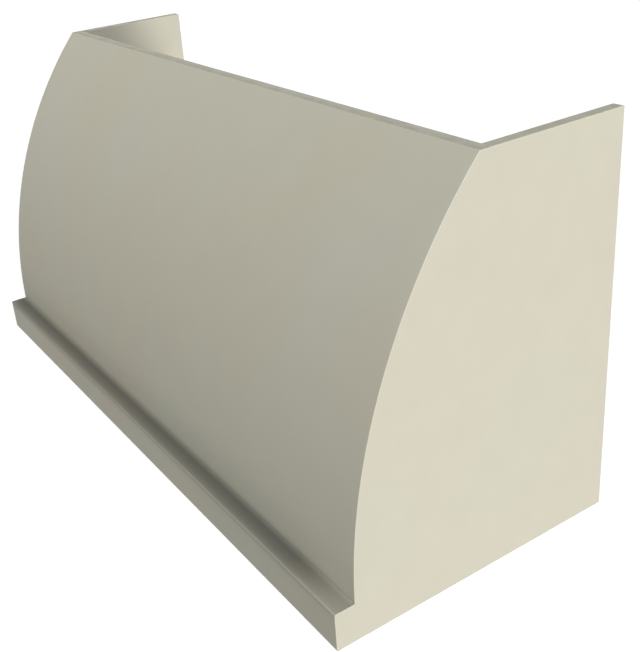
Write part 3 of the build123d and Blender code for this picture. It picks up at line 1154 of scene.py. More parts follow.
@dataclass(frozen=True)
class Softwood:
    """Bare planed softwood, with growth rings round a heart that lies beside the piece."""

    early: Colour = (0.74, 0.555, 0.325)
    late: Colour = (0.50, 0.285, 0.125)
    streak: Colour = (0.63, 0.42, 0.215)
    ring: float = 0.0042
    late_power: float = 2.2
    late_end: float = 0.90
    wander: float = 0.010
    bend_length: float = 0.45
    bend_width: float = 0.05
    fibre_length: float = 0.03
    fibre_width: float = 0.0008
    fibre_span: Span = (0.45, 0.75)
    fibre_share: float = 0.45
    fibre_relief: float = 0.5
    relief: float = 0.00008
    roughness: Span = (0.62, 0.50)

    def material(self, name: str, grain: Axis, heart: Point) -> bpy.types.Material:
        """The softwood of one piece.

        Rings are shells of equal distance from the heart line, which a slow noise along the grain
        bends, so that faces show long cathedrals and ends show arcs. Each ring darkens outwards by a
        power of the way through it, and ends in a sharp edge.

        Args:
            name: The material's name.
            grain: The axis along the grain.
            heart: A point on the heart line.

        Returns:
            The material.
        """
        graph = Graph(name)
        bend = graph.noise(stretched(grain, self.bend_length, self.bend_width))
        around = list(graph.parts(graph.coordinates(centre=heart)))
        del around[grain.value]
        squares = (graph.product(part, part) for part in around)
        radius = graph.math("SQRT", graph.math("ADD", *squares))
        radius = graph.math("ADD", radius, graph.product(bend, self.wander))
        phase = graph.math("FRACT", graph.math("DIVIDE", radius, self.ring))
        fade = graph.fitted(phase, self.late_end, 1.0, 1.0, 0.0)
        late = graph.product(graph.math("POWER", phase, self.late_power), fade)
        fibres = graph.noise(stretched(grain, self.fibre_length, self.fibre_width), detail=3.0)
        wood = graph.blend(late, self.early, self.late)
        wood = graph.flecked(wood, fibres, self.fibre_span, self.fibre_share, self.streak)
        return graph.finish(
            Base_Color=wood,
            Roughness=graph.fitted(late, 0.0, 1.0, *self.roughness),
            Normal=graph.bump(graph.weighed(late, fibres, self.fibre_relief), self.relief),
        )


@dataclass(frozen=True)
class TurnedBeech:
    """Bare beech, with short dark flecks along the grain."""

    pale: Colour = (0.62, 0.42, 0.25)
    dark: Colour = (0.49, 0.30, 0.165)
    fleck: Colour = (0.30, 0.165, 0.085)
    figure_length: float = 0.03
    figure_width: float = 0.002
    figure_span: Span = (0.35, 0.65)
    fleck_length: float = 0.0022
    fleck_width: float = 0.00025
    fleck_span: Span = (0.62, 0.72)
    fleck_share: float = 0.7
    relief: float = 0.00004
    roughness: Span = (0.5, 0.62)

    def material(self, name: str, grain: Axis) -> bpy.types.Material:
        """The beech of one group of dowels.

        Args:
            name: The material's name.
            grain: The axis along the grain.

        Returns:
            The material.
        """
        graph = Graph(name)
        figure = graph.noise(stretched(grain, self.figure_length, self.figure_width), detail=3.0)
        flecks = graph.noise(stretched(grain, self.fleck_length, self.fleck_width), detail=1.0)
        wood = graph.blend(graph.fitted(figure, *self.figure_span), self.pale, self.dark)
        wood = graph.flecked(wood, flecks, self.fleck_span, self.fleck_share, self.fleck)
        return graph.finish(
            Base_Color=wood,
            Roughness=graph.fitted(figure, *NOISE_SPAN, *self.roughness),
            Normal=graph.bump(flecks, self.relief),
        )


@dataclass(frozen=True)
class ZincPlate:
    """Bright zinc plate, with a faint yellow and blue bloom."""

    yellow: Colour = (0.66, 0.61, 0.49)
    blue: Colour = (0.57, 0.60, 0.62)
    bloom_size: float = 0.004
    bloom_span: Span = (0.35, 0.65)
    grain_size: float = 0.0004
    relief: float = 0.00001
    roughness: Span = (0.26, 0.42)

    def material(self, name: str) -> bpy.types.Material:
        """The plated steel.

        Args:
            name: The material's name.

        Returns:
            The material.
        """
        graph = Graph(name)
        bloom = graph.fitted(graph.noise(self.bloom_size), *self.bloom_span)
        grain = graph.noise(self.grain_size)
        return graph.finish(
            Base_Color=graph.blend(bloom, self.yellow, self.blue),
            Metallic=1.0,
            Roughness=graph.fitted(grain, *NOISE_SPAN, *self.roughness),
            Normal=graph.bump(grain, self.relief),
        )


# ---- fasteners


@dataclass(frozen=True)
class ScrewShape:
    """A countersunk wood screw with a cross recess and a cut thread.

    The rings of its face are shares of the face's radius, and the thread starts at a share of the
    screw's length.
    """

    head_radius: float = 0.004
    shank_radius: float = 0.002
    root_radius: float = 0.00145
    rim: float = 0.0002
    rim_step: float = 0.00002
    face_rings: tuple[float, ...] = (0.0, 0.12, 0.22, 0.34, 0.46, 0.54, 0.60, 0.70, 0.85, 0.97)
    neck_length: float = 0.0004
    neck_share: float = 0.98
    thread_from: float = 0.38
    thread_lead: float = 0.0006
    thread_left: float = 0.3
    crest_slope: float = 2.6
    pitch: float = 0.0024
    rings_per_turn: int = 6
    tip_length: float = 0.005
    tip_radius: float = 0.0004
    recess_arm: float = 0.0046
    recess_width: float = 0.0011
    recess_slope: float = 0.00012
    recess_depth: float = 0.0016
    clearance: float = 0.0001

    def surface(self, length: float) -> Surface:
        """A screw along +Z, with its head's face at zero.

        The head's face is a disc pressed down along two crossed arms. Below the head the thread's
        radius rises from the root to the shank's radius and falls again once in every pitch, and the
        phase turns by one with each turn about the axis.

        Args:
            length: From the head's face to the tip.

        Returns:
            The screw's surface.
        """
        face_radius = np.array(self.face_rings)[:, None] * (self.head_radius - self.rim)
        across = face_radius * np.cos(TURN_ANGLES)
        along = face_radius * np.sin(TURN_ANGLES)
        face_height = self.recess_depth * np.maximum(self.arm(across, along), self.arm(along, across))

        thread_start = length * self.thread_from
        thread_end = length - self.tip_length
        turns = (thread_end - thread_start) / self.pitch
        stations = np.linspace(thread_start, thread_end, 1 + round(turns * self.rings_per_turn))
        stations = stations[:, None]
        phase = stations / self.pitch - TURN_ANGLES / (2 * math.pi)
        crest = np.clip(1.0 - self.crest_slope * np.abs(phase % 1.0 - 0.5), 0.0, 1.0)
        rise = np.clip((stations - thread_start) / self.pitch, 0.0, 1.0)
        fall = np.clip((thread_end - stations) / self.pitch + self.thread_left, 0.0, 1.0)
        height = (self.shank_radius - self.root_radius) * np.minimum(rise, fall)
        thread_radius = self.root_radius + height * crest

        neck = self.head_radius - self.shank_radius
        neck_radius = self.shank_radius * self.neck_share
        plain = np.array(
            [
                (self.head_radius - self.rim_step, self.rim_step),
                (self.head_radius - 2 * self.rim_step, self.rim / 2),
                (self.shank_radius, neck),
                (neck_radius, neck + self.neck_length),
                (neck_radius, thread_start - self.thread_lead),
            ]
        )
        end = np.array([(self.tip_radius, length), (0.0, length)])
        whole = np.ones(TURN_STEPS)
        radii = (face_radius * whole, plain[:, :1] * whole, thread_radius, end[:, :1] * whole)
        heights = (face_height, plain[:, 1:] * whole, stations * whole, end[:, 1:] * whole)
        return turned(np.concatenate(radii), np.concatenate(heights))

    def arm(self, across: np.ndarray, along: np.ndarray) -> np.ndarray:
        """How deep one arm of the recess is, which falls off at its sides and towards its ends.

        Args:
            across: The distance from the arm's middle line.
            along: The distance from the screw's axis, along the arm.

        Returns:
            The depth, from 0 to 1.
        """
        side = np.clip((self.recess_width / 2 - np.abs(across)) / self.recess_slope + 1.0, 0.0, 1.0)
        reach = np.clip((self.recess_arm / 2 - np.abs(along)) / (self.recess_arm / 4), 0.0, 1.0)
        return side * reach

    def bore(self, length: float) -> Surface:
        """The countersunk hole that such a screw fills, from just above the surface.

        Args:
            length: From the head's face to the tip.

        Returns:
            The hole, along +Z.
        """
        head, shank = self.head_radius, self.shank_radius
        end = length + self.clearance
        radius = np.array([head, head, shank, shank, self.tip_radius]) + self.clearance
        height = np.array([-OVERCUT, 0.0, head - shank, end - self.tip_length, end])
        return turned(radius, height)


@dataclass(frozen=True)
class DowelShape:
    """A fluted dowel with chamfered ends."""

    radius: float = 0.004
    chamfer: float = 0.0012
    flutes: int = 10
    flute_depth: float = 0.00025
    clearance: float = 0.0001
    end_gap: float = 0.001

    def surface(self, length: float) -> Surface:
        """A dowel along +Z from zero, its radius drawn in along each flute by a squared sine.

        Args:
            length: From end to end.

        Returns:
            The dowel's surface.
        """
        small = self.radius - self.chamfer / 2
        radius = np.array([0.0, small, self.radius, self.radius, small, 0.0])
        height = np.array([0.0, 0.0, self.chamfer, length - self.chamfer, length, length])
        depth = -self.flute_depth * np.sin(TURN_ANGLES * self.flutes / 2) ** 2
        return turned(radius, height, np.outer(radius > small, depth))

    def bore(self, length: float) -> Surface:
        """The plain hole round such a dowel, with a gap at each end."""
        radius = np.full(2, self.radius + self.clearance)
        return turned(radius, np.array([-self.end_gap, length + self.end_gap]))


def loose_solids(node: str) -> list[np.ndarray]:
    """The points of each separate solid of a CAD node.

    Points that share a triangle, or lie on the same spot, take the lower of their numbers until
    nothing changes, so that each solid ends with one number.

    Args:
        node: The node's name.

    Returns:
        The points of each solid, in the order of the node's mesh.
    """
    mesh = frame["nodes"][node].data
    points = np.zeros(len(mesh.vertices) * 3)
    mesh.vertices.foreach_get("co", points)
    points = points.reshape(-1, 3)
    corners = np.zeros(len(mesh.loops), int)
    mesh.loops.foreach_get("vertex_index", corners)
    spots = np.round(points / TINY).astype(np.int64)
    spot = np.unique(spots, axis=0, return_inverse=True)[1].ravel()
    triangles = spot[corners.reshape(-1, 3)]
    label = np.arange(spot.max() + 1)
    while True:
        lowest = label[triangles].min(axis=1)
        before = label.copy()
        for column in range(3):
            np.minimum.at(label, triangles[:, column], lowest)
        label = label[label]
        if np.array_equal(before, label):
            break
    solid = label[spot]
    return [points[solid == number] for number in np.unique(solid)]


def fastener_places(node: str) -> list[Place]:
    """Where each fastener of a CAD node is, read off its solid.

    A solid's axis is its longest side, or the line that its points spread most along where it lies
    at a slant. A screw's head is the end whose points lie further from the axis.

    Args:
        node: The node's name.

    Returns:
        One place for each fastener.
    """
    places = []
    for points in loose_solids(node):
        middle = (points.min(axis=0) + points.max(axis=0)) / 2
        spread = np.ptp(points, axis=0)
        direction = np.eye(3)[np.argmax(spread)]
        if np.sort(spread)[1] > SLANT_SHARE * spread.max():
            direction = np.linalg.svd(points - points.mean(axis=0))[2][0]
        along = (points - middle) @ direction
        away = np.linalg.norm(points - middle - np.outer(along, direction), axis=1)
        if along[np.argmax(away)] > 0:
            direction = -direction
        length = np.ptp(along)
        places.append(Place(middle - direction * length / 2, direction, length))
    return places


class FastenerKind(Enum):
    """The fasteners in use."""

    SCREW = ScrewShape()
    DOWEL = DowelShape()


@dataclass
class Fasteners:
    """Every screw and dowel, each group at the places of its CAD node."""

    zinc: ZincPlate
    beech: TurnedBeech
    kinds: dict[str, FastenerKind] = field(
        default_factory=lambda: {
            "apron_dowels": FastenerKind.DOWEL,
            "rib_dowels": FastenerKind.DOWEL,
            "former_screws": FastenerKind.SCREW,
            "apron_screws": FastenerKind.SCREW,
            "rib_screws": FastenerKind.SCREW,
            "ledger_screws": FastenerKind.SCREW,
            "block_screws": FastenerKind.SCREW,
            "insert_panel_screws": FastenerKind.SCREW,
        }
    )
    dowel_grain: dict[str, Axis] = field(
        default_factory=lambda: {"apron_dowels": Axis.X, "rib_dowels": Axis.Z}
    )

    def __post_init__(self) -> None:
        """Reads the places off the frame."""
        self.places = {node: fastener_places(node) for node in self.kinds}

    def bores(self, piece: bpy.types.Object) -> list[Surface]:
        """The holes that the fasteners need in a piece.

        Args:
            piece: The piece, with no holes yet.

        Returns:
            One surface with a shell for each hole, or none.
        """
        corners = np.array([vertex.co for vertex in piece.data.vertices])
        low, high = corners.min(axis=0) - TINY, corners.max(axis=0) + TINY
        found = []
        for node, places in self.places.items():
            shape = self.kinds[node].value
            for place in places:
                bore = shape.bore(place.length).placed(place)
                inside = (bore.points.min(axis=0) < high) & (bore.points.max(axis=0) > low)
                if inside.all() and self.enters(place, low, high):
                    found.append(bore)
        return [joined(found)] if found else []

    @staticmethod
    def enters(place: Place, low: np.ndarray, high: np.ndarray) -> bool:
        """Whether a fastener's line runs through a box, and doesn't only touch it.

        Args:
            place: The fastener's place.
            low: The box's lowest corner.
            high: Its highest corner.

        Returns:
            True if more than one point of the line lies inside.
        """
        steps = np.linspace(0.0, place.length, ENTRY_STEPS)[:, None]
        line = place.origin + steps * place.direction
        return bool(((line > low + OVERCUT) & (line < high - OVERCUT)).all(axis=1).sum() > 1)

    def build(self) -> None:
        """Makes each group of fasteners as one piece."""
        zinc = self.zinc.material("zinc_plate")
        for node, kind in self.kinds.items():
            shells = [kind.value.surface(place.length).placed(place) for place in self.places[node]]
            made = linked(f"{node}_looks", mesh_of(node, joined(shells)))
            if kind is FastenerKind.SCREW:
                finish(made, zinc, node)
            else:
                beech = self.beech.material(f"{node}_beech", self.dowel_grain[node])
                finish(made, beech, node)


# ---- pieces


def finish(piece: bpy.types.Object, material: bpy.types.Material, node: str) -> None:
    """Gives a new piece its finish and puts it in a CAD node's stead.

    Args:
        piece: The new piece.
        material: Its material.
        node: The CAD node that it stands for.
    """
    piece.data.materials.clear()
    piece.data.materials.append(material)
    smoothed(piece)
    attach(piece, BODY)
    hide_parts(node)
    corners = np.array([vertex.co for vertex in piece.data.vertices])
    low, high = (np.array(corner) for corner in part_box(node))
    off = max(np.abs(corners.min(axis=0) - low).max(), np.abs(corners.max(axis=0) - high).max())
    LOG.info(
        "%s: %d faces, box within %.3f mm of %s",
        piece.name,
        len(piece.data.polygons),
        off / MILLIMETRE,
        node,
    )


@dataclass
class Bench:
    """What every sub-assembly's boards are made with."""

    cover: Cover
    fasteners: Fasteners
    paint: bpy.types.Material
    birch: BirchPly
    bending: BendingPly
    softwood: Softwood

    def make(
        self,
        node: str,
        surface: Surface,
        material: bpy.types.Material,
        slot: str,
        cutters: Iterable[Surface] = (),
    ) -> None:
        """Makes one board: its shape, its cuts, the holes for its fasteners and its finish.

        Args:
            node: The CAD node that it stands for.
            surface: The board before it is cut.
            material: Its material.
            slot: The record's material slot; not used.
            cutters: What is cut out of it besides the fasteners' holes.
        """
        piece = linked(f"{node}_looks", mesh_of(node, surface))
        cut(piece, [*cutters, *self.fasteners.bores(piece)])
        finish(piece, material, node)


def eased_board(corners: np.ndarray, x_from: float, x_to: float) -> Surface:
    """A plain board with all its arrises eased."""
    ease = BOARD_EASE * EASE_SHARE
    return board(rounded(corners, BOARD_EASE), x_from, x_to, ease, ease)


def batten_outline(cover: Cover, outer: float) -> np.ndarray:
    """A batten with its face planed to the curve, a flat back and square edges.

    Args:
        cover: The cover's sizes.
        outer: The radius of its curved face.

    Returns:
        The outline as Y + iZ, anticlockwise.
    """
    face = cover.arc(outer, cover.rib_top_angle, cover.batten_top_angle)
    back = cover.arc(cover.batten_inner_radius, cover.batten_top_angle, cover.rib_top_angle)
    return np.concatenate([face, back[[0, -1]]])[::-1]


def mount_places(mount: dict, rows: Axis, direction: np.ndarray, depth: float) -> list[Place]:
    """Where the screw holes of a mount in the record are.

    Args:
        mount: The mount.
        rows: The axis along which its two rows lie apart.
        direction: The direction that the holes run in.
        depth: How deep they are.

    Returns:
        The places, in one or two columns along X.
    """
    spacings = (mount["dims"].get(key, 0.0) for key in ("spacing_x_mm", "spacing_y_mm"))
    half_x, half_y = (spacing * MILLIMETRE / 2 for spacing in spacings)
    middle = np.array(mount["pos_m"])
    return [
        Place(middle + x * Axis.X.unit + y * rows.unit, direction, depth)
        for x in sorted({-half_x, half_x})
        for y in (-half_y, half_y)
    ]


def plain_bore(mount: dict, place: Place) -> Surface:
    """The plain hole of a mount at a place, which stands out of the board at both ends.

    Args:
        mount: The mount in the record.
        place: One of its places.

    Returns:
        The hole.
    """
    radius = np.full(2, mount["dims"]["hole_r_mm"] * MILLIMETRE)
    height = np.array([-CUT_MARGIN, place.length + CUT_MARGIN])
    return turned(radius, height).placed(place)


@dataclass
class Shell:
    """The painted outside, which is two side panels, the outer ply and the apron, and the inner ply."""

    bench: Bench

    def ply(
        self, outer: float, inner: float, outer_ease: float = 0.0, inner_ease: float = 0.0
    ) -> np.ndarray:
        """The outline of a ply of the front, from its upright foot to its level top edge.

        Args:
            outer: The radius of its outer face.
            inner: The radius of its inner face.
            outer_ease: The rounding of the top edge's outer arris.
            inner_ease: The rounding of its inner arris.

        Returns:
            The outline as Y + iZ, anticlockwise.
        """
        cover = self.bench.cover
        front = cover.arc(outer, 0.0, cover.top_angle(outer))
        back = cover.arc(inner, cover.top_angle(inner), 0.0)
        foot = np.array([cover.arc_y - inner + 0j, cover.arc_y - outer + 0j])
        outline = np.concatenate([foot, front, back])[::-1]
        radii = np.zeros(len(outline))
        radii[len(back) - 1] = inner_ease
        radii[len(back)] = outer_ease
        return rounded(outline, radii)

    def side_outline(self) -> np.ndarray:
        """A side panel's outline: the apron's end, the front's arc, and level and upright edges.

        Two extra corners lie close together on the top edge, just behind the plies, so that the
        easing of the inner face's arris can stop between them.

        Returns:
            The outline as Y + iZ, anticlockwise.
        """
        cover = self.bench.cover
        front = cover.arc(cover.skin_radius, 0.0, cover.top_angle(cover.skin_radius))[::-1]
        top = 1j * cover.height
        corners = [
            cover.apron_y + 0j,
            cover.wall_y + 0j,
            cover.wall_y + top,
            cover.seam_y + 2 * SHELL_EASE + top,
            cover.seam_y + SHELL_EASE + top,
        ]
        apron_top = [cover.apron_y + 1j * cover.apron_height]
        outline = np.concatenate([corners, front, apron_top])
        radii = np.zeros(len(outline))
        radii[[0, -1]] = cover.apron_arris
        radii[[1, 2, len(corners)]] = SHELL_EASE
        return rounded(outline, radii)

    def rebate(self) -> np.ndarray:
        """The outline of the cut that takes the ends of both plies, which runs out at the edges.

        Returns:
            The outline as Y + iZ, anticlockwise.
        """
        cover = self.bench.cover
        outer, inner = cover.skin_radius + CUT_MARGIN, cover.rib_outer_radius
        front = cover.arc(outer, 0.0, cover.top_angle(outer, CUT_MARGIN))[1:]
        back = cover.arc(inner, cover.top_angle(inner, CUT_MARGIN), 0.0)
        foot = np.array([cover.rail_front_y, cover.skin_y]) - 1j * CUT_MARGIN
        seat = [cover.skin_y + 1j * cover.apron_height]
        return np.concatenate([foot, seat, front, back])[::-1]

    def housings(self) -> list[np.ndarray]:
        """The outlines of the cuts that take the ends of the rails and the batten.

        Returns:
            The outlines as Y + iZ, anticlockwise.
        """
        cover = self.bench.cover
        front, back = cover.rail_front_y - CUT_MARGIN, cover.wall_y + CUT_MARGIN
        return [
            rectangle(front, cover.rail_back_y, -CUT_MARGIN, cover.apron_height),
            rectangle(cover.wall_rail_y, back, -CUT_MARGIN, cover.lower_rail_height),
            rectangle(cover.wall_rail_y, back, cover.hanging_rail_foot, cover.hanging_rail_top),
            batten_outline(cover, cover.rib_outer_radius + CUT_MARGIN),
        ]

    def recess(self, outline: np.ndarray, side: Side, depth: float) -> Surface:
        """A cut into a side panel's inner face.

        Args:
            outline: Its outline as Y + iZ.
            side: The side panel.
            depth: How deep it goes.

        Returns:
            The cutter.
        """
        face = self.bench.cover.inner_half
        return board(outline, *side.span(face - CUT_MARGIN, face + depth))

    def side_panel(self, side: Side) -> None:
        """Makes one side panel, rebated for the plies and housed for the rails and the batten.

        The arris of its inner face is eased only behind the plies.

        Args:
            side: The end of the cover that it closes.
        """
        cover = self.bench.cover
        outline = self.side_outline()
        ease = SHELL_EASE * EASE_SHARE
        behind = outline.real > cover.seam_y + 1.5 * SHELL_EASE  # between the two extra corners
        eases = np.where(behind, ease, 0.0), ease  # inner and outer, turned round on the left
        ends = side.span(cover.inner_half, cover.half)
        surface = board(outline, *ends, *eases[:: side.value])
        cutters = [self.recess(self.rebate(), side, cover.rebate_depth)]
        cutters += [self.recess(housing, side, cover.housing_depth) for housing in self.housings()]
        self.bench.make(f"{side.word}_side_panel", surface, self.bench.paint, "painted_shell", cutters)

    def apron(self) -> None:
        """Makes the apron, between the side panels and flush with them."""
        cover = self.bench.cover
        corners = rectangle(cover.apron_y, cover.skin_y, 0.0, cover.apron_height)
        outline = rounded(corners, np.array([cover.apron_arris, 0.0, 0.0, cover.apron_arris]))
        surface = board(outline, -cover.inner_half, cover.inner_half)
        self.bench.make("apron_board", surface, self.bench.paint, "painted_shell")

    def build(self) -> None:
        """Makes every piece of the shell."""
        cover = self.bench.cover
        end = cover.inner_half + cover.rebate_depth
        outline = self.ply(cover.skin_radius, cover.joint_radius, outer_ease=SHELL_EASE)
        self.bench.make("front_outer_ply", board(outline, -end, end), self.bench.paint, "painted_shell")
        outline = self.ply(cover.joint_radius, cover.rib_outer_radius, inner_ease=FEATHER_EASE)
        bending = self.bench.bending.material("front_inner_ply_veneer")
        self.bench.make("front_inner_ply", board(outline, -end, end), bending, "bending_ply")
        self.apron()
        for side in Side:
            self.side_panel(side)


@dataclass
class CurvedFrame:
    """The frame behind the front: ribs, end formers, the top batten and the bottom rail.

    The growth rings of the batten have their middle below it and behind it.
    """

    bench: Bench
    rib_count: int = 2
    batten_heart: Point = (0.0, 0.03, 0.47)

    def rib_outline(self) -> np.ndarray:
        """A curved rib from the bottom rail's top to the batten.

        Returns:
            The outline as Y + iZ, anticlockwise.
        """
        cover = self.bench.cover
        outer = cover.arc(cover.rib_outer_radius, 0.0, cover.rib_top_angle)
        inner = cover.arc(cover.rib_inner_radius, cover.rib_top_angle, 0.0)
        return np.concatenate([outer, inner])[::-1]

    def rib(self, node: str, x_from: float, x_to: float) -> None:
        """Makes one rib or end former.

        Args:
            node: The CAD node that it stands for.
            x_from: The place of its left face.
            x_to: The place of its right face.
        """
        surface = board(self.rib_outline(), x_from, x_to, BOARD_EASE, BOARD_EASE)
        wood = self.bench.birch.material(f"{node}_birch", Axis.X, Axis.Z, x_from)
        self.bench.make(node, surface, wood, "birch_ply")

    def build(self) -> None:
        """Makes every piece of the curved frame."""
        cover = self.bench.cover
        half = cover.rib_thickness / 2
        middles = np.linspace(-cover.inner_half, cover.inner_half, self.rib_count + 2)[1:-1]
        for side, middle in zip(Side, middles):
            self.rib(f"{side.word}_rib", middle - half, middle + half)
        for side in Side:
            ends = side.span(cover.inner_half - cover.rib_thickness, cover.inner_half)
            self.rib(f"{side.word}_end_former", *ends)

        outline = rounded(batten_outline(cover, cover.rib_outer_radius), 0.0)
        surface = board(outline, -cover.housed_half, cover.housed_half, BOARD_EASE, BOARD_EASE)
        wood = self.bench.softwood.material("top_batten_softwood", Axis.X, self.batten_heart)
        self.bench.make("top_batten", surface, wood, "softwood")

        corners = rectangle(cover.rail_front_y, cover.rail_back_y, 0.0, cover.apron_height)
        surface = eased_board(corners, -cover.housed_half, cover.housed_half)
        wood = self.bench.birch.material("front_bottom_rail_birch", Axis.Y, Axis.X, cover.rail_front_y)
        self.bench.make("front_bottom_rail", surface, wood, "birch_ply")


@dataclass
class WallRails:
    """The rails that the cover hangs by, and the blocks that tie them to the side panels.

    The growth rings of a block have their middle a little in front of it.
    """

    bench: Bench
    heart_distance: float = 0.02

    def wall_bores(self, z_from: float, z_to: float) -> list[Surface]:
        """The wall screws' holes in a rail, from the record's mounts.

        Args:
            z_from: The rail's lower edge.
            z_to: Its upper edge.

        Returns:
            One surface with a shell for each hole.
        """
        depth = self.bench.cover.rail_thickness
        found = [
            plain_bore(mount, place)
            for mount in frame["record"]["mounts"]
            if mount["name"].startswith("wall_screws")
            for place in mount_places(mount, Axis.Z, -Axis.Y.unit, depth)
            if z_from < place.origin[2] < z_to
        ]
        return [joined(found)]

    def rail(self, node: str, z_from: float, z_to: float) -> None:
        """Makes one rail at the wall.

        Args:
            node: The CAD node that it stands for.
            z_from: Its lower edge.
            z_to: Its upper edge.
        """
        cover = self.bench.cover
        corners = rectangle(cover.wall_rail_y, cover.wall_y, z_from, z_to)
        surface = eased_board(corners, -cover.housed_half, cover.housed_half)
        wood = self.bench.birch.material(f"{node}_birch", Axis.Y, Axis.X, cover.wall_rail_y)
        self.bench.make(node, surface, wood, "birch_ply", self.wall_bores(z_from, z_to))

    def build(self) -> None:
        """Makes the two rails and the two blocks."""
        cover = self.bench.cover
        heights = cover.hanging_rail_foot, cover.hanging_rail_top
        self.rail("hanging_rail", *heights)
        self.rail("lower_rear_rail", 0.0, cover.lower_rail_height)
        corners = rectangle(cover.rear_ledger_y, cover.wall_rail_y, *heights)
        for side in Side:
            node = f"{side.word}_rail_block"
            ends = side.span(cover.inner_half - cover.ledger_width, cover.inner_half)
            heart = (side.value * cover.inner_half, cover.rear_ledger_y - self.heart_distance, 0.0)
            wood = self.bench.softwood.material(f"{node}_softwood", Axis.Z, heart)
            self.bench.make(node, eased_board(corners, *ends), wood, "softwood")


@dataclass
class InsertDeck:
    """The ledgers round the foot and the panel under them that takes the extractor insert.

    The growth rings of the front and the rear ledger have their middle a distance behind the face
    of the rail beside them, at a height. Those of the side ledgers have it at the side panels' feet.
    """

    bench: Bench
    cutout_width: float = 0.836
    cutout_depth: float = 0.266
    cutout_corner: float = 0.006
    corner_steps: int = 8
    front_heart: Span = (0.005, -0.02)
    rear_heart: Span = (0.02, 0.02)
    side_heart: float = 0.01

    def cutout(self, middle_y: float) -> Surface:
        """The cut-out: a rounded rectangle in the XY plane, carried along Z.

        Each corner is a quarter circle of equal steps, and the four follow on from each other.

        Args:
            middle_y: The middle of the cut-out.

        Returns:
            The cutter.
        """
        reach = np.array([self.cutout_width, self.cutout_depth]) / 2 - self.cutout_corner
        quarter = np.arange(4)[:, None]
        angle = (quarter + np.linspace(0.0, 1.0, self.corner_steps + 1)) * math.pi / 2
        corner_x = np.array([1, -1, -1, 1])[:, None] * reach[0]
        corner_y = np.array([1, 1, -1, -1])[:, None] * reach[1]
        x = (corner_x + self.cutout_corner * np.cos(angle)).ravel()
        y = (corner_y + self.cutout_corner * np.sin(angle)).ravel() + middle_y
        heights = 0.0, self.bench.cover.apron_height
        return lofted(np.stack([np.column_stack([x, y, np.full_like(x, z)]) for z in heights]))

    def ledger(self, node: str, x_span: Span, y_span: Span, grain: Axis, heart: Point) -> None:
        """Makes one ledger.

        Args:
            node: The CAD node that it stands for.
            x_span: Its ends or faces along X.
            y_span: Its faces or ends along Y.
            grain: The axis along its grain.
            heart: The middle of its growth rings.
        """
        cover = self.bench.cover
        corners = rectangle(*y_span, cover.ledger_foot, cover.apron_height)
        wood = self.bench.softwood.material(f"{node}_softwood", grain, heart)
        self.bench.make(node, eased_board(corners, *x_span), wood, "softwood")

    def panel(self) -> None:
        """Makes the insert panel, with its cut-out and the insert's four screw holes."""
        cover = self.bench.cover
        gap = cover.insert_panel_gap
        front, back = cover.rail_back_y + gap, cover.wall_rail_y - gap
        corners = rectangle(front, back, cover.insert_panel_recess, cover.ledger_foot)
        surface = eased_board(corners, gap - cover.inner_half, cover.inner_half - gap)
        mounts = {mount["name"]: mount for mount in frame["record"]["mounts"]}
        screws = mounts["insert_screws"]
        places = mount_places(screws, Axis.Y, Axis.Z.unit, cover.insert_panel_thickness)
        cutout = self.cutout(mounts["insert_face"]["pos_m"][1])
        cutters = [cutout, joined(plain_bore(screws, place) for place in places)]
        self.bench.make("insert_panel", surface, self.bench.paint, "painted_shell", cutters)

    def build(self) -> None:
        """Makes the four ledgers and the insert panel."""
        cover = self.bench.cover
        whole = (-cover.inner_half, cover.inner_half)
        rail, wall_rail = cover.rail_back_y, cover.wall_rail_y
        front, rear = (rail, cover.ledger_back_y), (cover.rear_ledger_y, wall_rail)
        behind, height = self.front_heart
        self.ledger("front_ledger", whole, front, Axis.X, (0.0, rail + behind, height))
        behind, height = self.rear_heart
        self.ledger("rear_ledger", whole, rear, Axis.X, (0.0, wall_rail + behind, height))
        between = (cover.ledger_back_y, cover.rear_ledger_y)
        for side in Side:
            ends = side.span(cover.inner_half - cover.ledger_width, cover.inner_half)
            heart = (side.value * (cover.inner_half + self.side_heart), 0.0, 0.0)
            self.ledger(f"{side.word}_ledger", ends, between, Axis.Y, heart)
        self.panel()


# ---- studio


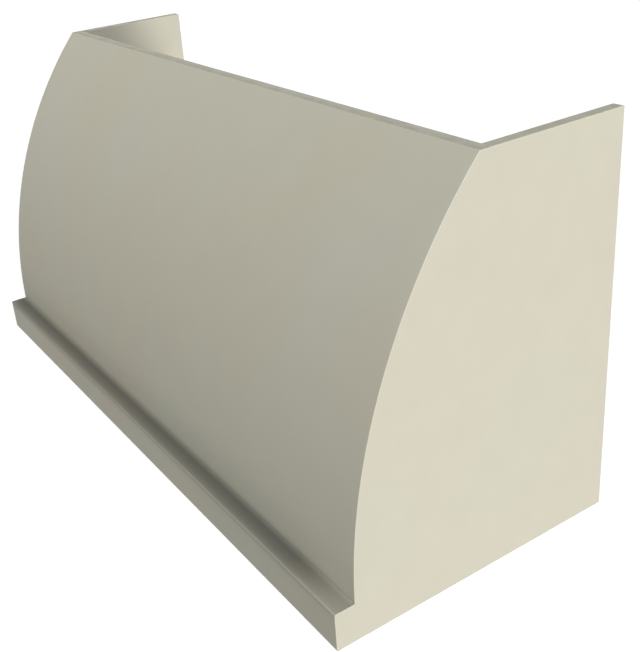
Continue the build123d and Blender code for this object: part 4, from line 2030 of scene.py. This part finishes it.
@dataclass
class Studio:
    """The floor, the white surround, the lamps and the camera."""

    floor_size: float = 30.0
    floor_drop: float = 0.0005
    floor_tone: float = 0.36
    floor_mottle: float = 0.01
    mottle_size: float = 0.9
    floor_bounce: float = 0.09
    floor_glow: float = 0.82
    ambient: float = 0.10
    key_direction: Point = (0.841, -0.290, 0.457)
    key_strength: float = 1.06
    key_angle: float = 40.0
    fill_direction: Point = (-0.61, 0.79, 0.05)
    fill_strength: float = 0.80
    fill_angle: float = 30.0
    camera_place: Point = (1.406364, -0.757386, 0.957027)
    camera_turn: Point = (65.171211, 4.889884, 57.251635)
    lens: float = 54.4386
    sensor: float = 36.0
    shift: Span = (0.072086, -0.060728)

    def lamp(
        self, name: str, direction: Point, strength: float, spread: float, mirrored: bool = True
    ) -> None:
        """Adds a soft distant lamp.

        Args:
            name: The lamp's name.
            direction: The direction towards the lamp.
            strength: How light a white surface that faces it looks, where 1 is white.
            spread: How wide the lamp looks from the cover, in degrees.
            mirrored: Whether it shows in a gloss.
        """
        data = bpy.data.lights.new(name, "SUN")
        data.energy = strength * math.pi
        data.angle = math.radians(spread)
        lamp = linked(name, data)
        lamp.visible_glossy = mirrored
        x, y, z = direction
        lamp.rotation_euler = (math.atan2(math.hypot(x, y), z), 0.0, math.atan2(x, -y))

    def surround(self) -> None:
        """Lights the cover softly from all round, and is white where it is seen or mirrored."""
        world = bpy.data.worlds.new("surround")
        world.use_nodes = True
        bpy.context.scene.world = world
        tree = world.node_tree
        tree.nodes.clear()
        background = tree.nodes.new("ShaderNodeBackground")
        output = tree.nodes.new("ShaderNodeOutputWorld")
        strength = tree.nodes.new("ShaderNodeMapRange")
        strength.inputs["To Min"].default_value = self.ambient
        tree.links.new(self.seen(tree), strength.inputs["Value"])
        tree.links.new(strength.outputs[0], background.inputs["Strength"])
        background.inputs["Color"].default_value = (1.0, 1.0, 1.0, 1.0)
        tree.links.new(background.outputs[0], output.inputs["Surface"])

    @staticmethod
    def seen(tree: bpy.types.NodeTree) -> Socket:
        """Tells what is looked at from what only lights the scene.

        Args:
            tree: The nodes that it is used in.

        Returns:
            1 for what the camera sees directly, in a gloss or through glass, and 0 for lighting.
        """
        path = tree.nodes.new("ShaderNodeLightPath")
        found = path.outputs["Is Camera Ray"]
        for name in ("Is Glossy Ray", "Is Transmission Ray"):
            either = tree.nodes.new("ShaderNodeMath")
            either.operation = "MAXIMUM"
            tree.links.new(found, either.inputs[0])
            tree.links.new(path.outputs[name], either.inputs[1])
            found = either.outputs[0]
        return found

    def floor(self) -> None:
        """Lays a pale floor that glows white where it is seen and keeps the cover's shadow."""
        graph = Graph("pale_floor")
        mottle = graph.noise(self.mottle_size, detail=3.0)
        darker = self.floor_tone * (1.0 - self.floor_mottle)
        plain = graph.node("ShaderNodeBsdfDiffuse")
        tone = graph.fitted(mottle, *NOISE_SPAN, darker, self.floor_tone)
        graph.feed(plain.inputs["Color"], graph.grey(tone))
        glow = graph.node("ShaderNodeEmission")
        graph.feed(glow.inputs["Strength"], self.floor_glow)
        shown = graph.node("ShaderNodeAddShader")
        graph.feed(shown.inputs[0], plain.outputs[0])
        graph.feed(shown.inputs[1], glow.outputs[0])
        dull = graph.node("ShaderNodeBsdfDiffuse")
        graph.feed(dull.inputs["Color"], (self.floor_bounce,) * 3)
        mixed = graph.node("ShaderNodeMixShader")
        graph.feed(mixed.inputs[0], self.seen(graph.tree))
        graph.feed(mixed.inputs[1], dull.outputs[0])
        graph.feed(mixed.inputs[2], shown.outputs[0])
        graph.feed(graph.output.inputs["Surface"], mixed.outputs[0])
        half = self.floor_size / 2
        corners = np.array([(-half, -half), (half, -half), (half, half), (-half, half)])
        points = np.column_stack([corners, np.full(4, -self.floor_drop)])
        plane = linked("floor", bpy.data.meshes.new("floor"))
        plane.data.from_pydata(points.tolist(), [], [(0, 1, 2, 3)])
        plane.data.materials.append(graph.material)

    def camera(self) -> None:
        """Sets the camera at the photograph's viewing angle."""
        data = bpy.data.cameras.new("camera")
        data.lens = self.lens
        data.sensor_width = self.sensor
        data.shift_x, data.shift_y = self.shift
        camera = linked("camera", data)
        camera.location = self.camera_place
        camera.rotation_euler = tuple(math.radians(angle) for angle in self.camera_turn)
        bpy.context.scene.camera = camera

    def build(self) -> None:
        """Sets up the whole studio."""
        self.surround()
        self.floor()
        self.lamp("key", self.key_direction, self.key_strength, self.key_angle)
        self.lamp("fill", self.fill_direction, self.fill_strength, self.fill_angle, mirrored=False)
        self.camera()
        bpy.context.scene.view_settings.view_transform = "Standard"


def main() -> None:
    """Builds the cover's looks and the studio."""
    logging.basicConfig(level=logging.INFO, format="%(message)s")
    cover = Cover()
    paint = EggshellPaint(cover)
    edge_paint = PaintedEdge(paint)
    fasteners = Fasteners(ZincPlate(), TurnedBeech())
    bench = Bench(
        cover=cover,
        fasteners=fasteners,
        paint=paint.material(),
        birch=BirchPly(edge_paint),
        bending=BendingPly(edge_paint),
        softwood=Softwood(),
    )
    Shell(bench).build()
    CurvedFrame(bench).build()
    WallRails(bench).build()
    InsertDeck(bench).build()
    fasteners.build()
    Studio().build()


if __name__ == "__main__":
    main()
